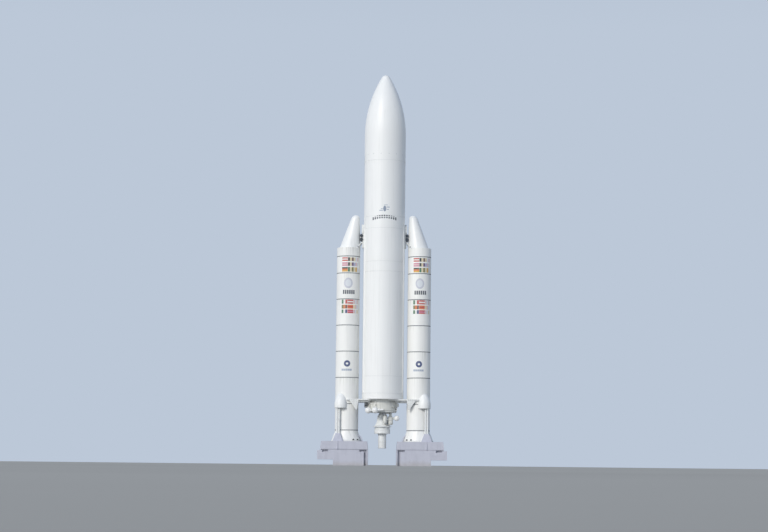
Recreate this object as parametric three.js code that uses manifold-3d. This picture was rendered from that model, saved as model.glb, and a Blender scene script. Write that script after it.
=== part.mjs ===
// Space rocket with two solid boosters, standing on two plinths, as a 1:2 scale model.
// Millimetres at model scale. X runs across the boosters, -Y is the front, +Z is up,
// and the origin is on the ground below the middle of the core.

import * as THREE from 'three';
import { mergeVertices } from 'three/addons/utils/BufferGeometryUtils.js';
import Module from 'manifold-3d';

const wasm = await Module();
wasm.setup();

// Gap left between pieces that touch
const gap = 0.3;

// Core
const coreRadius = 1350;
const coreBottom = 4310;
const coreBore = 1285;
const coreSides = 64;
const coreJoints = { rimTop: 4685, aftSkirtTop: 5800, tankTop: 12625, ringTop: 13280,
  forwardSkirtTop: 15465, equipmentTop: 16245, carrierTop: 19930 };

// Payload fairing: a tangent ogive with a rounded tip
const ogiveBase = 21700;
const ogiveLength = 4349;
const ogiveTipRadius = 300;
const ogiveSteps = 10;
const fairingWall = 65;

// Ducts up the flanks of the core
const ductAzimuth = 69;
const ductProud = 60;
const ductBottom = 4700;
const ductTop = 15460;

// Boosters
const boosterOffset = 2335;
const boosterRadius = 762;
const boosterBore = 735;
const boosterSides = 48;
const footBottom = 1560;
const footTop = 2290;
const footFlare = 203;
const casePitch = 1705;
const casesInSegment = 3;
const forwardSegmentTop = 13630;
const collarTop = 14210;
const noseTip = 16410;
const noseBaseRadius = 675;
const noseTipRadius = 262;
const noseBulge = 20;
const noseBaseShift = 85;
const noseTipShift = 465;
const noseWall = 40;

// Plinths
const slabTop = footBottom;
const slabBottom = 1010;
const plinthInner = 922;
const plinthOuter = 4180;
const plinthHalfDepth = 1540;

// Engine and its gimbal
const gimbalHeight = 3440;
const thrustFrameRadius = 950;
const thrustFrameBore = 830;
const thrustFrameShoulder = 4000;
const thrustFrameSkirt = [905, 3450];
const thrustFrameSkirtBore = 800;
const thrustFrameBottom = 3600;
const thrustFrameFloor = 100;
const yokeReach = 80;
const pinRadius = 40;
const bellTop = 3290;
const bellBottom = 2510;
const bellExitRadius = 585;
const bellWall = 25;
const drumBottom = 2080;
const drumFloor = 30;
const tailpipeRadius = 258;
const tailpipeBottom = 1130;

const paint = {
  white: new THREE.MeshStandardMaterial({ color: 0xeef1f1, roughness: 0.42, metalness: 0.0 }),
  shade: new THREE.MeshStandardMaterial({ color: 0xdfe3e4, roughness: 0.5, metalness: 0.0 }),
  grey: new THREE.MeshStandardMaterial({ color: 0xcdcec8, roughness: 0.55, metalness: 0.1 }),
  steel: new THREE.MeshStandardMaterial({ color: 0x8d9095, roughness: 0.4, metalness: 0.8 }),
  dark: new THREE.MeshStandardMaterial({ color: 0x4b5462, roughness: 0.6, metalness: 0.1 }),
  concrete: new THREE.MeshStandardMaterial({ color: 0xb7bac6, roughness: 0.85, metalness: 0.0 }),
};

// Turns a geometry into an indexed one with shared corners and no collapsed triangles
function sharedCorners(geometry) {
  const bare = geometry.clone();
  for (const name of Object.keys(bare.attributes)) {
    if (name !== 'position') bare.deleteAttribute(name);
  }
  const merged = mergeVertices(bare, 1e-3);
  const kept = [];
  const index = merged.index.array;
  for (let i = 0; i < index.length; i += 3) {
    const [a, b, c] = [index[i], index[i + 1], index[i + 2]];
    if (a !== b && b !== c && c !== a) kept.push(a, b, c);
  }
  merged.setIndex(kept);
  return merged;
}

function toSolid(geometry) {
  const merged = sharedCorners(geometry);
  return new wasm.Manifold(new wasm.Mesh({
    numProp: 3,
    vertProperties: new Float32Array(merged.attributes.position.array),
    triVerts: new Uint32Array(merged.index.array),
  }));
}

function toGeometry(solid) {
  const mesh = solid.getMesh();
  const geometry = new THREE.BufferGeometry();
  geometry.setAttribute('position', new THREE.BufferAttribute(new Float32Array(mesh.vertProperties), 3));
  geometry.setIndex(Array.from(mesh.triVerts));
  geometry.computeVertexNormals();
  return geometry;
}

function joined(...geometries) {
  return toGeometry(geometries.map(toSolid).reduce((whole, piece) => whole.add(piece)));
}

function cut(geometry, ...tools) {
  return toGeometry(tools.map(toSolid).reduce((left, tool) => left.subtract(tool), toSolid(geometry)));
}

function common(geometry, other) {
  return toGeometry(toSolid(geometry).intersect(toSolid(other)));
}

// Mirrors a right-hand geometry to the left, with its faces still pointing out
function mirrored(geometry) {
  const other = sharedCorners(geometry).scale(-1, 1, 1);
  const index = other.index.array;
  for (let i = 0; i < index.length; i += 3) [index[i], index[i + 1]] = [index[i + 1], index[i]];
  return other;
}

// Body of revolution about Z; the profile is [radius, height] from bottom to top
function turned(profile, sides) {
  const points = profile.map(([radius, height]) => new THREE.Vector2(radius, height));
  return new THREE.LatheGeometry(points, sides).rotateX(Math.PI / 2);
}

function drum(radius, bottom, top, sides) {
  return turned([[0, bottom], [radius, bottom], [radius, top], [0, top]], sides);
}

// Drum with a round bore, which may stop above its bottom and leave a floor
function tube(radius, bore, bottom, top, sides, floor = -1) {
  return cut(drum(radius, bottom, top, sides), drum(bore, bottom + floor, top + 1, sides / 2));
}

// Outline of [x, z] points, extruded from y = front towards the back
function plate(outline, front, depth) {
  const shape = new THREE.Shape(outline.map(([x, z]) => new THREE.Vector2(x, z)));
  const geometry = new THREE.ExtrudeGeometry(shape, { depth, bevelEnabled: false, steps: 1 });
  return geometry.rotateX(Math.PI / 2).translate(0, front + depth, 0);
}

function block([x0, y0, z0], [x1, y1, z1]) {
  return new THREE.BoxGeometry(x1 - x0, y1 - y0, z1 - z0)
    .translate((x0 + x1) / 2, (y0 + y1) / 2, (z0 + z1) / 2);
}

// Round bar between two points
function bar(from, to, radius, sides = 16) {
  const [start, end] = [new THREE.Vector3(...from), new THREE.Vector3(...to)];
  const along = end.clone().sub(start);
  const turn = new THREE.Quaternion().setFromUnitVectors(new THREE.Vector3(0, 1, 0), along.clone().normalize());
  return new THREE.CylinderGeometry(radius, radius, along.length(), sides)
    .applyQuaternion(turn)
    .translate(...start.add(end).multiplyScalar(0.5).toArray());
}

function ball(radius, [x, y, z], across = 24, down = 16) {
  return new THREE.SphereGeometry(radius, across, down).rotateX(Math.PI / 2).translate(x, y, z);
}

const rocket = new THREE.Group();

function addPiece(name, geometry, material, group = rocket) {
  const mesh = new THREE.Mesh(geometry, material);
  mesh.name = name;
  group.add(mesh);
  return mesh;
}

// Adds a piece on the right side, at +X, and its mirror image on the left side
function addPair(name, geometry, material) {
  addPiece(`${name}_right`, geometry, material);
  addPiece(`${name}_left`, mirrored(geometry), material);
}

// Radius of the ogive at a height above its base, before its tip is rounded
function ogiveRadius(height) {
  const arc = (coreRadius ** 2 + ogiveLength ** 2) / (2 * coreRadius);
  return Math.sqrt(arc ** 2 - height ** 2) - (arc - coreRadius);
}

// Inside of the fairing, one wall thickness within the ogive
function fairingHollow() {
  const steps = ogiveSteps / 2;
  const profile = [[0, coreJoints.carrierTop], [coreBore, coreJoints.carrierTop]];
  for (let step = 0; step <= steps; step += 1) {
    const height = (ogiveLength - 1.6 * ogiveTipRadius) * step / steps;
    profile.push([ogiveRadius(height) - fairingWall, ogiveBase + height]);
  }
  return turned([...profile, [0, profile.at(-1)[1]]], coreSides / 2);
}

// Profile of the fairing, with the ogive's arc running into a round tip
function fairingProfile() {
  const arc = (coreRadius ** 2 + ogiveLength ** 2) / (2 * coreRadius);
  const tipCentre = Math.sqrt((arc - ogiveTipRadius) ** 2 - (arc - coreRadius) ** 2);
  const tipAngle = Math.asin(tipCentre / (arc - ogiveTipRadius));
  const profile = [[0, coreJoints.carrierTop + gap], [coreRadius, coreJoints.carrierTop + gap]];
  for (let step = 0; step <= ogiveSteps; step += 1) {
    const height = arc * Math.sin(tipAngle * step / ogiveSteps);
    profile.push([ogiveRadius(height), ogiveBase + height]);
  }
  const capSteps = 4;
  for (let step = 1; step <= capSteps; step += 1) {
    const angle = tipAngle + (Math.PI / 2 - tipAngle) * step / capSteps;
    const radius = step === capSteps ? 0 : ogiveTipRadius * Math.cos(angle);
    profile.push([radius, ogiveBase + tipCentre + ogiveTipRadius * Math.sin(angle)]);
  }
  return profile;
}

function addCore() {
  const sections = [
    // name, bottom, top
    ['core_rim_band', coreBottom, coreJoints.rimTop],
    ['core_aft_skirt', coreJoints.rimTop, coreJoints.aftSkirtTop],
    ['core_tank', coreJoints.aftSkirtTop, coreJoints.tankTop],
    ['core_intertank_ring', coreJoints.tankTop, coreJoints.ringTop],
    ['core_forward_skirt', coreJoints.ringTop, coreJoints.forwardSkirtTop],
    ['equipment_bay', coreJoints.forwardSkirtTop, coreJoints.equipmentTop],
    ['payload_carrier', coreJoints.equipmentTop, coreJoints.carrierTop],
  ];
  for (const [name, bottom, top] of sections) {
    const floor = name === 'core_rim_band' ? 40 : -1;
    addPiece(name, tube(coreRadius, coreBore, bottom + gap, top, coreSides, floor), paint.white);
  }
  const fairing = cut(turned(fairingProfile(), coreSides), fairingHollow());
  const reach = 2 * coreRadius;
  const frontSpace = block([-reach, -reach, 0], [reach, -gap / 2, 2 * ogiveBase]);
  const rearSpace = block([-reach, gap / 2, 0], [reach, reach, 2 * ogiveBase]);
  addPiece('fairing_front_half', common(fairing, frontSpace), paint.white);
  addPiece('fairing_rear_half', common(fairing, rearSpace), paint.white);
}

// Round-backed ducts on the flanks, lying against the core
function addDucts() {
  const angle = THREE.MathUtils.degToRad(ductAzimuth);
  const [x, y] = [coreRadius * Math.sin(angle), -coreRadius * Math.cos(angle)];
  const duct = cut(
    drum(ductProud, ductBottom, ductTop, 12).translate(x, y, 0),
    drum(coreRadius + gap, ductBottom - coreRadius, ductTop + coreRadius, coreSides),
  );
  addPair('core_duct', duct, paint.white);
}

const segmentLength = casePitch * casesInSegment;
const aftSegmentTop = footTop + segmentLength;
const centreSegmentTop = aftSegmentTop + segmentLength;

function footShape(grow = 0) {
  return turned([[0, footBottom + gap - grow], [boosterRadius + footFlare + grow, footBottom + gap - grow],
    [boosterRadius + footFlare + grow, footBottom + 90], [boosterRadius + grow, footTop],
    [0, footTop]], boosterSides);
}

function noseShape(grow = 0) {
  const height = noseTip - collarTop;
  const tipCentre = height - noseTipRadius;
  const profile = [[0, gap - grow], [noseBaseRadius + grow, gap - grow]];
  const slope = Math.atan2(noseBaseRadius - noseTipRadius, tipCentre);
  for (const part of [0.25, 0.5, 0.75]) {
    const cone = noseBaseRadius + (noseTipRadius - noseBaseRadius) * part;
    profile.push([cone + 4 * noseBulge * part * (1 - part) + grow, tipCentre * part]);
  }
  const capSteps = 6;
  for (let step = 0; step <= capSteps; step += 1) {
    const angle = slope + (Math.PI / 2 - slope) * step / capSteps;
    const radius = step === capSteps ? 0 : (noseTipRadius + grow) * Math.cos(angle);
    profile.push([radius, tipCentre + (noseTipRadius + grow) * Math.sin(angle)]);
  }
  const lean = (noseBaseShift - noseTipShift) / height;
  return turned(profile, boosterSides)
    .applyMatrix4(new THREE.Matrix4().makeShear(0, 0, 0, 0, lean, 0))
    .translate(-noseBaseShift, 0, collarTop);
}

// Drain holes in the front of the flared foot, on the side towards the core
function footHoles() {
  const holes = [-740, -470];
  const [radius, height, depth] = [62, 1670, 130];
  return holes.map((x) => {
    const face = -Math.sqrt((boosterRadius + footFlare) ** 2 - x ** 2);
    return bar([x, face - depth, height], [x, face + depth, height], radius, 12);
  });
}

const onBooster = (geometry) => geometry.clone().translate(boosterOffset, 0, 0);

function addBoosters() {
  const cased = (bottom, top) => tube(boosterRadius, boosterBore, bottom + gap, top, boosterSides);
  const footHollow = drum(boosterBore, footBottom - 1, footTop + 1, boosterSides / 2);
  const noseHollow = noseShape(-noseWall).translate(0, 0, -noseWall - 10);
  const pieces = [
    // name, geometry about the booster's own axis
    ['booster_foot', cut(footShape(), footHollow, ...footHoles())],
    ['booster_aft_segment', cased(footTop, aftSegmentTop)],
    ['booster_centre_segment', cased(aftSegmentTop, centreSegmentTop)],
    ['booster_forward_segment', cased(centreSegmentTop, forwardSegmentTop)],
    ['booster_collar', cased(forwardSegmentTop, collarTop)],
    ['booster_nose', cut(noseShape(), noseHollow)],
  ];
  for (const [side, place] of [['right', 1], ['left', -1]]) {
    const booster = new THREE.Group();
    booster.position.x = place * boosterOffset;
    for (const [name, geometry] of pieces) {
      addPiece(`${name}_${side}`, place > 0 ? geometry : mirrored(geometry), paint.white, booster);
    }
    rocket.add(booster);
  }
}

// Blister on the core's flank, and below it the bracket that ties the core to the booster's nose and collar
function addForwardAttachments() {
  const blisterFace = 1480;
  const blisterHalfWidth = 250;
  const [blisterBottom, blisterTop] = [15200, 15800];
  const outline = new THREE.Shape();
  outline.moveTo(-blisterHalfWidth, blisterBottom);
  outline.lineTo(blisterHalfWidth, blisterBottom);
  outline.absarc(0, blisterTop - blisterHalfWidth, blisterHalfWidth, 0, Math.PI, false);
  const depth = blisterFace - coreRadius / 2;
  const slug = new THREE.ExtrudeGeometry(outline, { depth, bevelEnabled: false, curveSegments: 8 })
    .rotateX(Math.PI / 2).rotateZ(Math.PI / 2).translate(coreRadius / 2, 0, 0);
  const core = drum(coreRadius + gap, 0, noseTip, coreSides);
  addPair('forward_blister', cut(slug, core), paint.shade);

  const padHalf = 220;
  const [padBottom, padTop] = [14240, blisterBottom - gap];
  const padFace = 1440;
  const jointHeights = [14800, 15040];
  const jointRadius = 90;
  const strutRadius = 40;
  const strutHead = [padFace, 170, 14640];
  const strutFoot = [1800, 530, collarTop - strutRadius];
  const pad = block([coreRadius / 2, -padHalf, padBottom], [padFace, padHalf, padTop]);
  const thrustBlock = block([padFace - 20, -150, jointHeights[0] - 60], [boosterOffset - noseBaseRadius, 150,
    jointHeights[1] + 60]);
  const joints = jointHeights.map((height) => bar([1500, -290, height], [1500, 290, height], jointRadius, 16));
  const struts = [-1, 1].map((face) => bar(
    [strutHead[0], face * strutHead[1], strutHead[2]],
    [strutFoot[0], face * strutFoot[1], strutFoot[2]],
    strutRadius, 10,
  ));
  const nearBooster = drum(boosterRadius + gap, collarTop - 2 * boosterRadius, collarTop + gap, boosterSides);
  const bracket = cut(joined(pad, thrustBlock, ...joints, ...struts),
    onBooster(noseShape(gap)), onBooster(nearBooster), core);
  addPair('forward_bracket', bracket, paint.dark);
}

// Domed pod on the outer front of each booster, its two rods, and the seat below them
function addPods() {
  const centre = [2700, -560, 3900];
  const half = [430, 480, 780];
  const flatBottom = 3725;
  const dome = new THREE.SphereGeometry(1, 28, 18).rotateX(Math.PI / 2).scale(...half).translate(...centre);
  const below = block([0, -2 * half[1] + centre[1], 0], [2 * centre[0], 2 * half[1], flatBottom]);
  const booster = onBooster(drum(boosterRadius + gap, footTop, forwardSegmentTop, boosterSides));
  addPair('booster_pod', cut(dome, below, booster), paint.white);

  const rodLine = -800;
  const rodPlaces = [2795, 2930];
  const rodRadius = 58;
  const seatTop = 2075;
  const rods = rodPlaces.map((x) => bar(
    [x, rodLine, seatTop + gap], [x, rodLine, flatBottom - gap], rodRadius, 16,
  ));
  const clamps = [2500, 2950, 3400].map((height) => block(
    [rodPlaces[0] - 40, rodLine - 45, height], [rodPlaces[1] + 40, rodLine + 45, height + 50],
  ));
  addPair('pod_rods', joined(...rods, ...clamps), paint.shade);

  const seatCentre = 2870;
  const [seatTopHalf, seatBaseHalf] = [150, 345];
  const corner = Math.SQRT2;
  const seatHeight = seatTop - slabTop - gap;
  const seat = new THREE.CylinderGeometry(seatTopHalf * corner, seatBaseHalf * corner, seatHeight, 4)
    .rotateX(Math.PI / 2).rotateZ(Math.PI / 4)
    .translate(seatCentre, rodLine, (seatTop + slabTop + gap) / 2);
  addPair('rod_seat', cut(seat, onBooster(footShape(gap))), paint.concrete);
}

// Curved guide beside each foot, on the side towards the core
function addFootGuides() {
  const centre = [boosterOffset - 575, slabTop + gap];
  const [outer, inner] = [500, 430];
  const steps = 10;
  const outline = [];
  const sweep = Math.PI * 0.42;
  for (const [radius, start, end] of [[outer, Math.PI, Math.PI - sweep], [inner, Math.PI - sweep, Math.PI]]) {
    for (let step = 0; step <= steps; step += 1) {
      const angle = start + (end - start) * step / steps;
      outline.push([centre[0] + radius * Math.cos(angle), centre[1] + radius * Math.sin(angle)]);
    }
  }
  const guide = cut(plate(outline, -300, 160), onBooster(footShape(gap)));
  addPair('foot_guide', guide, paint.concrete);
}

function addPlinths() {
  const recess = { inner: 1000, outer: 1175, top: slabBottom + 1, depth: 1150 };
  const pocket = { inner: 1110, outer: 1460, height: 120 };
  const ledge = { inner: 3150, bottom: 395, top: 975, pocketInner: 3465, pocketOuter: 3850, pocketHeight: 110 };
  const top = slabBottom;
  const outline = [
    [plinthInner, 0], [ledge.inner, 0], [ledge.inner, ledge.bottom], [plinthOuter, ledge.bottom],
    [plinthOuter, ledge.top], [ledge.pocketOuter, ledge.top],
    [ledge.pocketOuter, ledge.top - ledge.pocketHeight], [ledge.pocketInner, ledge.top - ledge.pocketHeight],
    [ledge.pocketInner, top], [pocket.outer, top], [pocket.outer, top - pocket.height],
    [pocket.inner, top - pocket.height], [pocket.inner, top], [plinthInner, top],
  ];
  // The recess behind the cheek is cut from the front and from the rear
  const recesses = [-plinthHalfDepth - 1, plinthHalfDepth + 1 - recess.depth].map((front) => block(
    [recess.inner, front, -1], [recess.outer, front + recess.depth, recess.top]));
  const base = cut(plate(outline, -plinthHalfDepth, 2 * plinthHalfDepth), ...recesses);
  addPair('plinth_base', base, paint.concrete);

  const slabOutline = [[plinthInner, slabBottom + gap], [4000, slabBottom + gap],
    [3920, slabTop], [plinthInner + 50, slabTop]];
  const slab = plate(slabOutline, -plinthHalfDepth, 2 * plinthHalfDepth);
  const [ridgeCentre, ridgeHalf, ridgeProud] = [2870, 70, 45];
  const ridges = [-plinthHalfDepth, plinthHalfDepth].map((face) => (
    new THREE.CylinderGeometry(ridgeProud, ridgeHalf, slabTop - slabBottom - 2 * gap, 4)
      .rotateX(Math.PI / 2).translate(ridgeCentre, face, (slabTop + slabBottom) / 2)));
  addPair('plinth_slab', joined(slab, ...ridges), paint.concrete);
}

const beamBottom = 4215;
const beamDepth = 120;
const beamFront = -(boosterRadius + 1 + beamDepth);

// Cross beams under the core, in front of and behind the boosters, with a gusset at each booster
function addAftBeams() {
  const beam = block([-boosterOffset, beamFront, beamBottom],
    [boosterOffset, beamFront + beamDepth, coreBottom]);
  const [inner, outer, tip, drop] = [1575, 2150, 1660, 600];
  const outline = [[inner, beamBottom - gap], [tip, beamBottom - drop], [tip + 60, beamBottom - drop],
    [outer, beamBottom - gap]];
  const gusset = plate(outline, beamFront, beamDepth);
  addPiece('aft_beam_front', beam, paint.shade);
  addPiece('aft_beam_rear', beam.clone().rotateZ(Math.PI), paint.shade);
  addPair('aft_gusset_front', gusset, paint.shade);
  addPair('aft_gusset_rear', gusset.clone().translate(0, -2 * beamFront - beamDepth, 0), paint.shade);
}

// Outer shape of the thrust frame and its skirt; grow makes the space that their neighbours leave
function thrustFrameShape(grow = 0) {
  const [skirtRadius, skirtBottom] = thrustFrameSkirt;
  return turned([
    [0, skirtBottom - grow], [skirtRadius - 25 + grow, skirtBottom - grow],
    [skirtRadius + grow, skirtBottom + 25], [thrustFrameRadius + grow, thrustFrameShoulder],
    [thrustFrameRadius + grow, coreBottom], [0, coreBottom],
  ], coreSides);
}

function addAftAttachments() {
  const notch = block([-boosterOffset, beamFront - gap, beamBottom - gap],
    [boosterOffset, beamFront + beamDepth + gap, coreBottom + 1]);
  const hollow = drum(thrustFrameBore, thrustFrameBottom + thrustFrameFloor, coreBottom + 1, coreSides / 2);
  const notches = [notch, notch.clone().rotateZ(Math.PI)];
  const skirtBottom = thrustFrameSkirt[1];
  const below = drum(coreRadius, skirtBottom - 1, thrustFrameBottom, coreSides);
  addPiece('thrust_frame', cut(thrustFrameShape(), hollow, below, ...notches), paint.grey);

  // Open ring under it, round the gimbal
  const bore = drum(thrustFrameSkirtBore, skirtBottom - 1, thrustFrameBottom + 1, coreSides);
  const above = drum(coreRadius, thrustFrameBottom - gap, coreBottom + 1, coreSides);
  addPiece('thrust_frame_skirt', cut(thrustFrameShape(), bore, above), paint.grey);

  // Three struts to each booster: two across and one slanting between them
  const [strutHeight, strutLine, strutRadius] = [4140, 500, 42];
  const [frameEnd, boosterEnd] = [800, 1900];
  const struts = joined(
    bar([frameEnd, -strutLine, strutHeight], [boosterEnd, -strutLine, strutHeight], strutRadius),
    bar([frameEnd, strutLine, strutHeight], [boosterEnd, strutLine, strutHeight], strutRadius),
    bar([1080, -strutLine, strutHeight], [1620, strutLine, strutHeight], strutRadius),
  );
  const trimmed = cut(struts, drum(thrustFrameRadius + gap, 0, coreBottom, coreSides),
    onBooster(drum(boosterRadius + gap, 0, coreBottom, boosterSides)));
  addPair('aft_struts', trimmed, paint.shade);

  const box = block([-1180, -210, 3780], [-850, 10, 4150]);
  addPiece('valve_box', cut(box, thrustFrameShape(gap)), paint.dark);
}

// Pair of pressure spheres held off the front of the thrust frame, with a short pipe on the inner one
function addSpheres() {
  const [radius, height] = [205, 3580];
  const [outer, inner] = [[-930, -650], [-480, -1030]];
  const spheres = [outer, inner].flatMap(([x, y]) => [
    ball(radius, [x, y, height], 20, 12),
    bar([x, y, height], [0.7 * x, 0.7 * y, height + 60], 60, 12),
  ]);
  const tie = bar([...outer, height], [...inner, height], 50, 10);
  const pipeLine = [inner[1] - 60, height + 30];
  const pipe = bar([inner[0] + 100, ...pipeLine], [inner[0] + 520, ...pipeLine], 55, 12);
  const fitting = ball(85, [inner[0] + 270, ...pipeLine], 12, 8);
  const elbow = bar([inner[0] + 480, ...pipeLine], [inner[0] + 480, inner[1] + 250, pipeLine[1]], 50, 12);
  const pieces = joined(...spheres, tie, pipe, fitting, elbow);
  addPiece('pressure_spheres', cut(pieces, thrustFrameShape(gap)), paint.white);
}

// Lug plate with a round hole for a gimbal pin that runs along X
function lug(x0, x1, low, high) {
  const hole = bar([x0 - 10, 0, gimbalHeight], [x1 + 10, 0, gimbalHeight], pinRadius + 5, 16);
  return cut(block([x0, -yokeReach, low], [x1, yokeReach, high]), hole);
}

function addGimbal() {
  const [lugInner, lugOuter] = [110, 170];
  const yoke = (baseLow, baseHigh, lugLow, lugHigh) => joined(
    drum(280, baseLow, baseHigh, 32),
    lug(lugInner, lugOuter, lugLow, lugHigh),
    lug(-lugOuter, -lugInner, lugLow, lugHigh),
  );
  const base = 30;
  const upper = yoke(thrustFrameBottom - base - 10, thrustFrameBottom - gap, gimbalHeight - yokeReach,
    thrustFrameBottom - base);
  const lower = yoke(bellTop + gap, bellTop + base + 10, bellTop + base, gimbalHeight + yokeReach);
  addPiece('gimbal_upper_yoke', upper, paint.steel);
  addPiece('gimbal_lower_yoke', lower.rotateZ(Math.PI / 2), paint.steel);

  const pinReach = lugOuter + 15;
  const half = 70;
  const cross = joined(
    block([-half, -half, gimbalHeight - half], [half, half, gimbalHeight + half]),
    bar([-pinReach, 0, gimbalHeight], [pinReach, 0, gimbalHeight], pinRadius, 16),
    bar([0, -pinReach, gimbalHeight], [0, pinReach, gimbalHeight], pinRadius, 16),
  );
  addPiece('gimbal_cross', cross, paint.steel);
}

function bellShape(grow = 0) {
  const profile = [
    // radius, height
    [bellExitRadius, bellBottom], [bellExitRadius, 2550], [490, 2605], [430, 2690], [385, 2800],
    [350, 2940], [330, 3090], [318, 3235], [285, bellTop],
  ];
  const grown = profile.map(([radius, height]) => [radius + grow, height]);
  return turned([[0, bellBottom], ...grown, [0, bellTop]], 48);
}

function addEngine() {
  const bellHollow = bellShape(-bellWall).translate(0, 0, -bellWall);
  addPiece('engine_bell', cut(bellShape(), bellHollow), paint.white);
  const drumProfile = [[0, drumBottom], [512, drumBottom], [512, 2405], [480, 2405], [480, bellBottom - gap],
    [0, bellBottom - gap]];
  const drumHollow = drum(455, drumBottom + drumFloor, bellBottom, 24);
  addPiece('engine_drum', cut(turned(drumProfile, 48), drumHollow), paint.white);
  const pipe = tube(tailpipeRadius, tailpipeRadius - 20, tailpipeBottom, drumBottom - gap, 32, drumFloor);
  addPiece('engine_tailpipe', pipe, paint.shade);

  // Upright pump with an inlet pipe and its flange on top; the right one also carries the gas generator
  const inletTop = 3470;
  const pump = ([x, y], low, high, radius) => turned([[0, low], [radius * 0.6, low], [radius, low + 60],
    [radius, high - 90], [radius * 0.5, high], [radius * 0.5, inletTop - 40], [radius * 0.68, inletTop - 40],
    [radius * 0.68, inletTop], [0, inletTop]], 24).translate(x, y, 0);
  const rightPump = [520, -240];
  const exhaustBall = [930, -240, 3090];
  const generator = [170, -500];
  const rightSide = joined(
    pump(rightPump, 2650, 3240, 160),
    block([250, rightPump[1] - 60, 2880], [rightPump[0], rightPump[1] + 60, 3000]),
    bar([rightPump[0], rightPump[1], 3070], exhaustBall, 60, 14),
    ball(175, exhaustBall, 20, 14),
    turned([[0, 2740], [70, 2740], [125, 2800], [125, 3180], [60, 3250], [0, 3250]], 20)
      .translate(...generator, 0),
    bar([...generator, 3020], [...rightPump, 3020], 60, 12),
    bar([...generator, 2900], [170, -200, 2900], 50, 12),
  );
  addPiece('turbopump_right', cut(rightSide, bellShape(gap)), paint.grey);
  const rearPump = [-140, 560];
  const rearSide = joined(
    pump(rearPump, 2680, 3220, 150),
    block([rearPump[0] - 60, 300, 2880], [rearPump[0] + 60, rearPump[1], 2990]),
  );
  addPiece('turbopump_rear', cut(rearSide, bellShape(gap)), paint.grey);
}

addCore();
addDucts();
addBoosters();
addForwardAttachments();
addPods();
addFootGuides();
addPlinths();
addAftBeams();
addAftAttachments();
addSpheres();
addGimbal();
addEngine();

export default rocket;
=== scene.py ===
# Space rocket on two plinths, a 1:2 scale model. Metres, X across the boosters, -Y front, +Z up.
import math

import bmesh
import bpy
from mathutils import Matrix, Vector


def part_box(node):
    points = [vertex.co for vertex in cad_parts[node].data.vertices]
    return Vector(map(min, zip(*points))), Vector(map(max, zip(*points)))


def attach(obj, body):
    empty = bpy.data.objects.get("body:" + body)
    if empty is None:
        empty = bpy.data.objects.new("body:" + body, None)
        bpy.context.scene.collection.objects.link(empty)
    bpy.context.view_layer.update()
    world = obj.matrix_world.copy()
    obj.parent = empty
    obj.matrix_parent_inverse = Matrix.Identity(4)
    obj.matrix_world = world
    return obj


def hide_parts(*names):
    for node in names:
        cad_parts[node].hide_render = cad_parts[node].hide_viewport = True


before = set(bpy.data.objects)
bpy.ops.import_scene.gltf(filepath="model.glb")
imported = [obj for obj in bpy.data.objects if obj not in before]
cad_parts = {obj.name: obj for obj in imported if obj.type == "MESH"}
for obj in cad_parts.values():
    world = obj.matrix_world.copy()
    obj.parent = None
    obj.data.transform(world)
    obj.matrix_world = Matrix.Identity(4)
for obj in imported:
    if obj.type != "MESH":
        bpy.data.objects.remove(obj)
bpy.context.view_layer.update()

sides = {"right": 1, "left": -1}   # which way X points on each side
up, down, forward, outward = (0, 0, 1), (0, 0, -1), (0, -1, 0), (1, 0, 0)   # ways that fasteners face


# Small helpers

def hexLinear(code):
    # sRGB hex to linear RGBA
    channels = [int(code[i:i + 2], 16) / 255 for i in (0, 2, 4)]
    return (*(c / 12.92 if c <= 0.04045 else ((c + 0.055) / 1.055) ** 2.4 for c in channels), 1.0)


def heights(node):
    # lowest and highest Z of a CAD node
    return [corner.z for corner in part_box(node)]


def addNode(tree, kind, inputs=None, **settings):
    # one node with its settings; a socket takes a value, a hex colour, a link, or a node's first output
    node = tree.nodes.new(kind)
    for setting, value in settings.items():
        setattr(node, setting, value)
    for key, given in (inputs or {}).items():
        socket = node.inputs[key]
        for value in given if isinstance(given, list) else [given]:
            if isinstance(value, bpy.types.Node):
                value = value.outputs[0]
            if isinstance(value, bpy.types.NodeSocket):
                tree.links.new(value, socket)
            else:
                socket.default_value = hexLinear(value) if socket.type == "RGBA" else value
    return node


def startMaterial(name):
    # a material's empty tree, and the place on the object that its patterns read
    material = bpy.data.materials.new(name)
    material.use_nodes = True
    tree = material.node_tree
    tree.nodes.clear()
    return material, tree, addNode(tree, "ShaderNodeTexCoord").outputs["Object"]


def finishMaterial(tree, inputs):
    shader = addNode(tree, "ShaderNodeBsdfPrincipled", inputs)
    addNode(tree, "ShaderNodeOutputMaterial", {"Surface": shader})


def rampStops(ramp, *stops):
    # moves a colour ramp's two stops to (place, grey)
    for element, (place, grey) in zip(ramp.color_ramp.elements, stops):
        element.position, element.color = place, (grey, grey, grey, 1)
    return ramp


# Materials

skin = {
    "cloudSize": 1.9,        # soft patches in the paint, metres
    "streakWidth": 0.045,    # rain streaks, metres across
    "streakLength": 1.6,
    "peelSize": 0.012,       # orange peel is about 2 mm, drawn coarser so that it shows
    "canSize": 0.85,         # shallow waves in the sheet under the paint
    "waveDepth": 0.0064,
}


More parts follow.
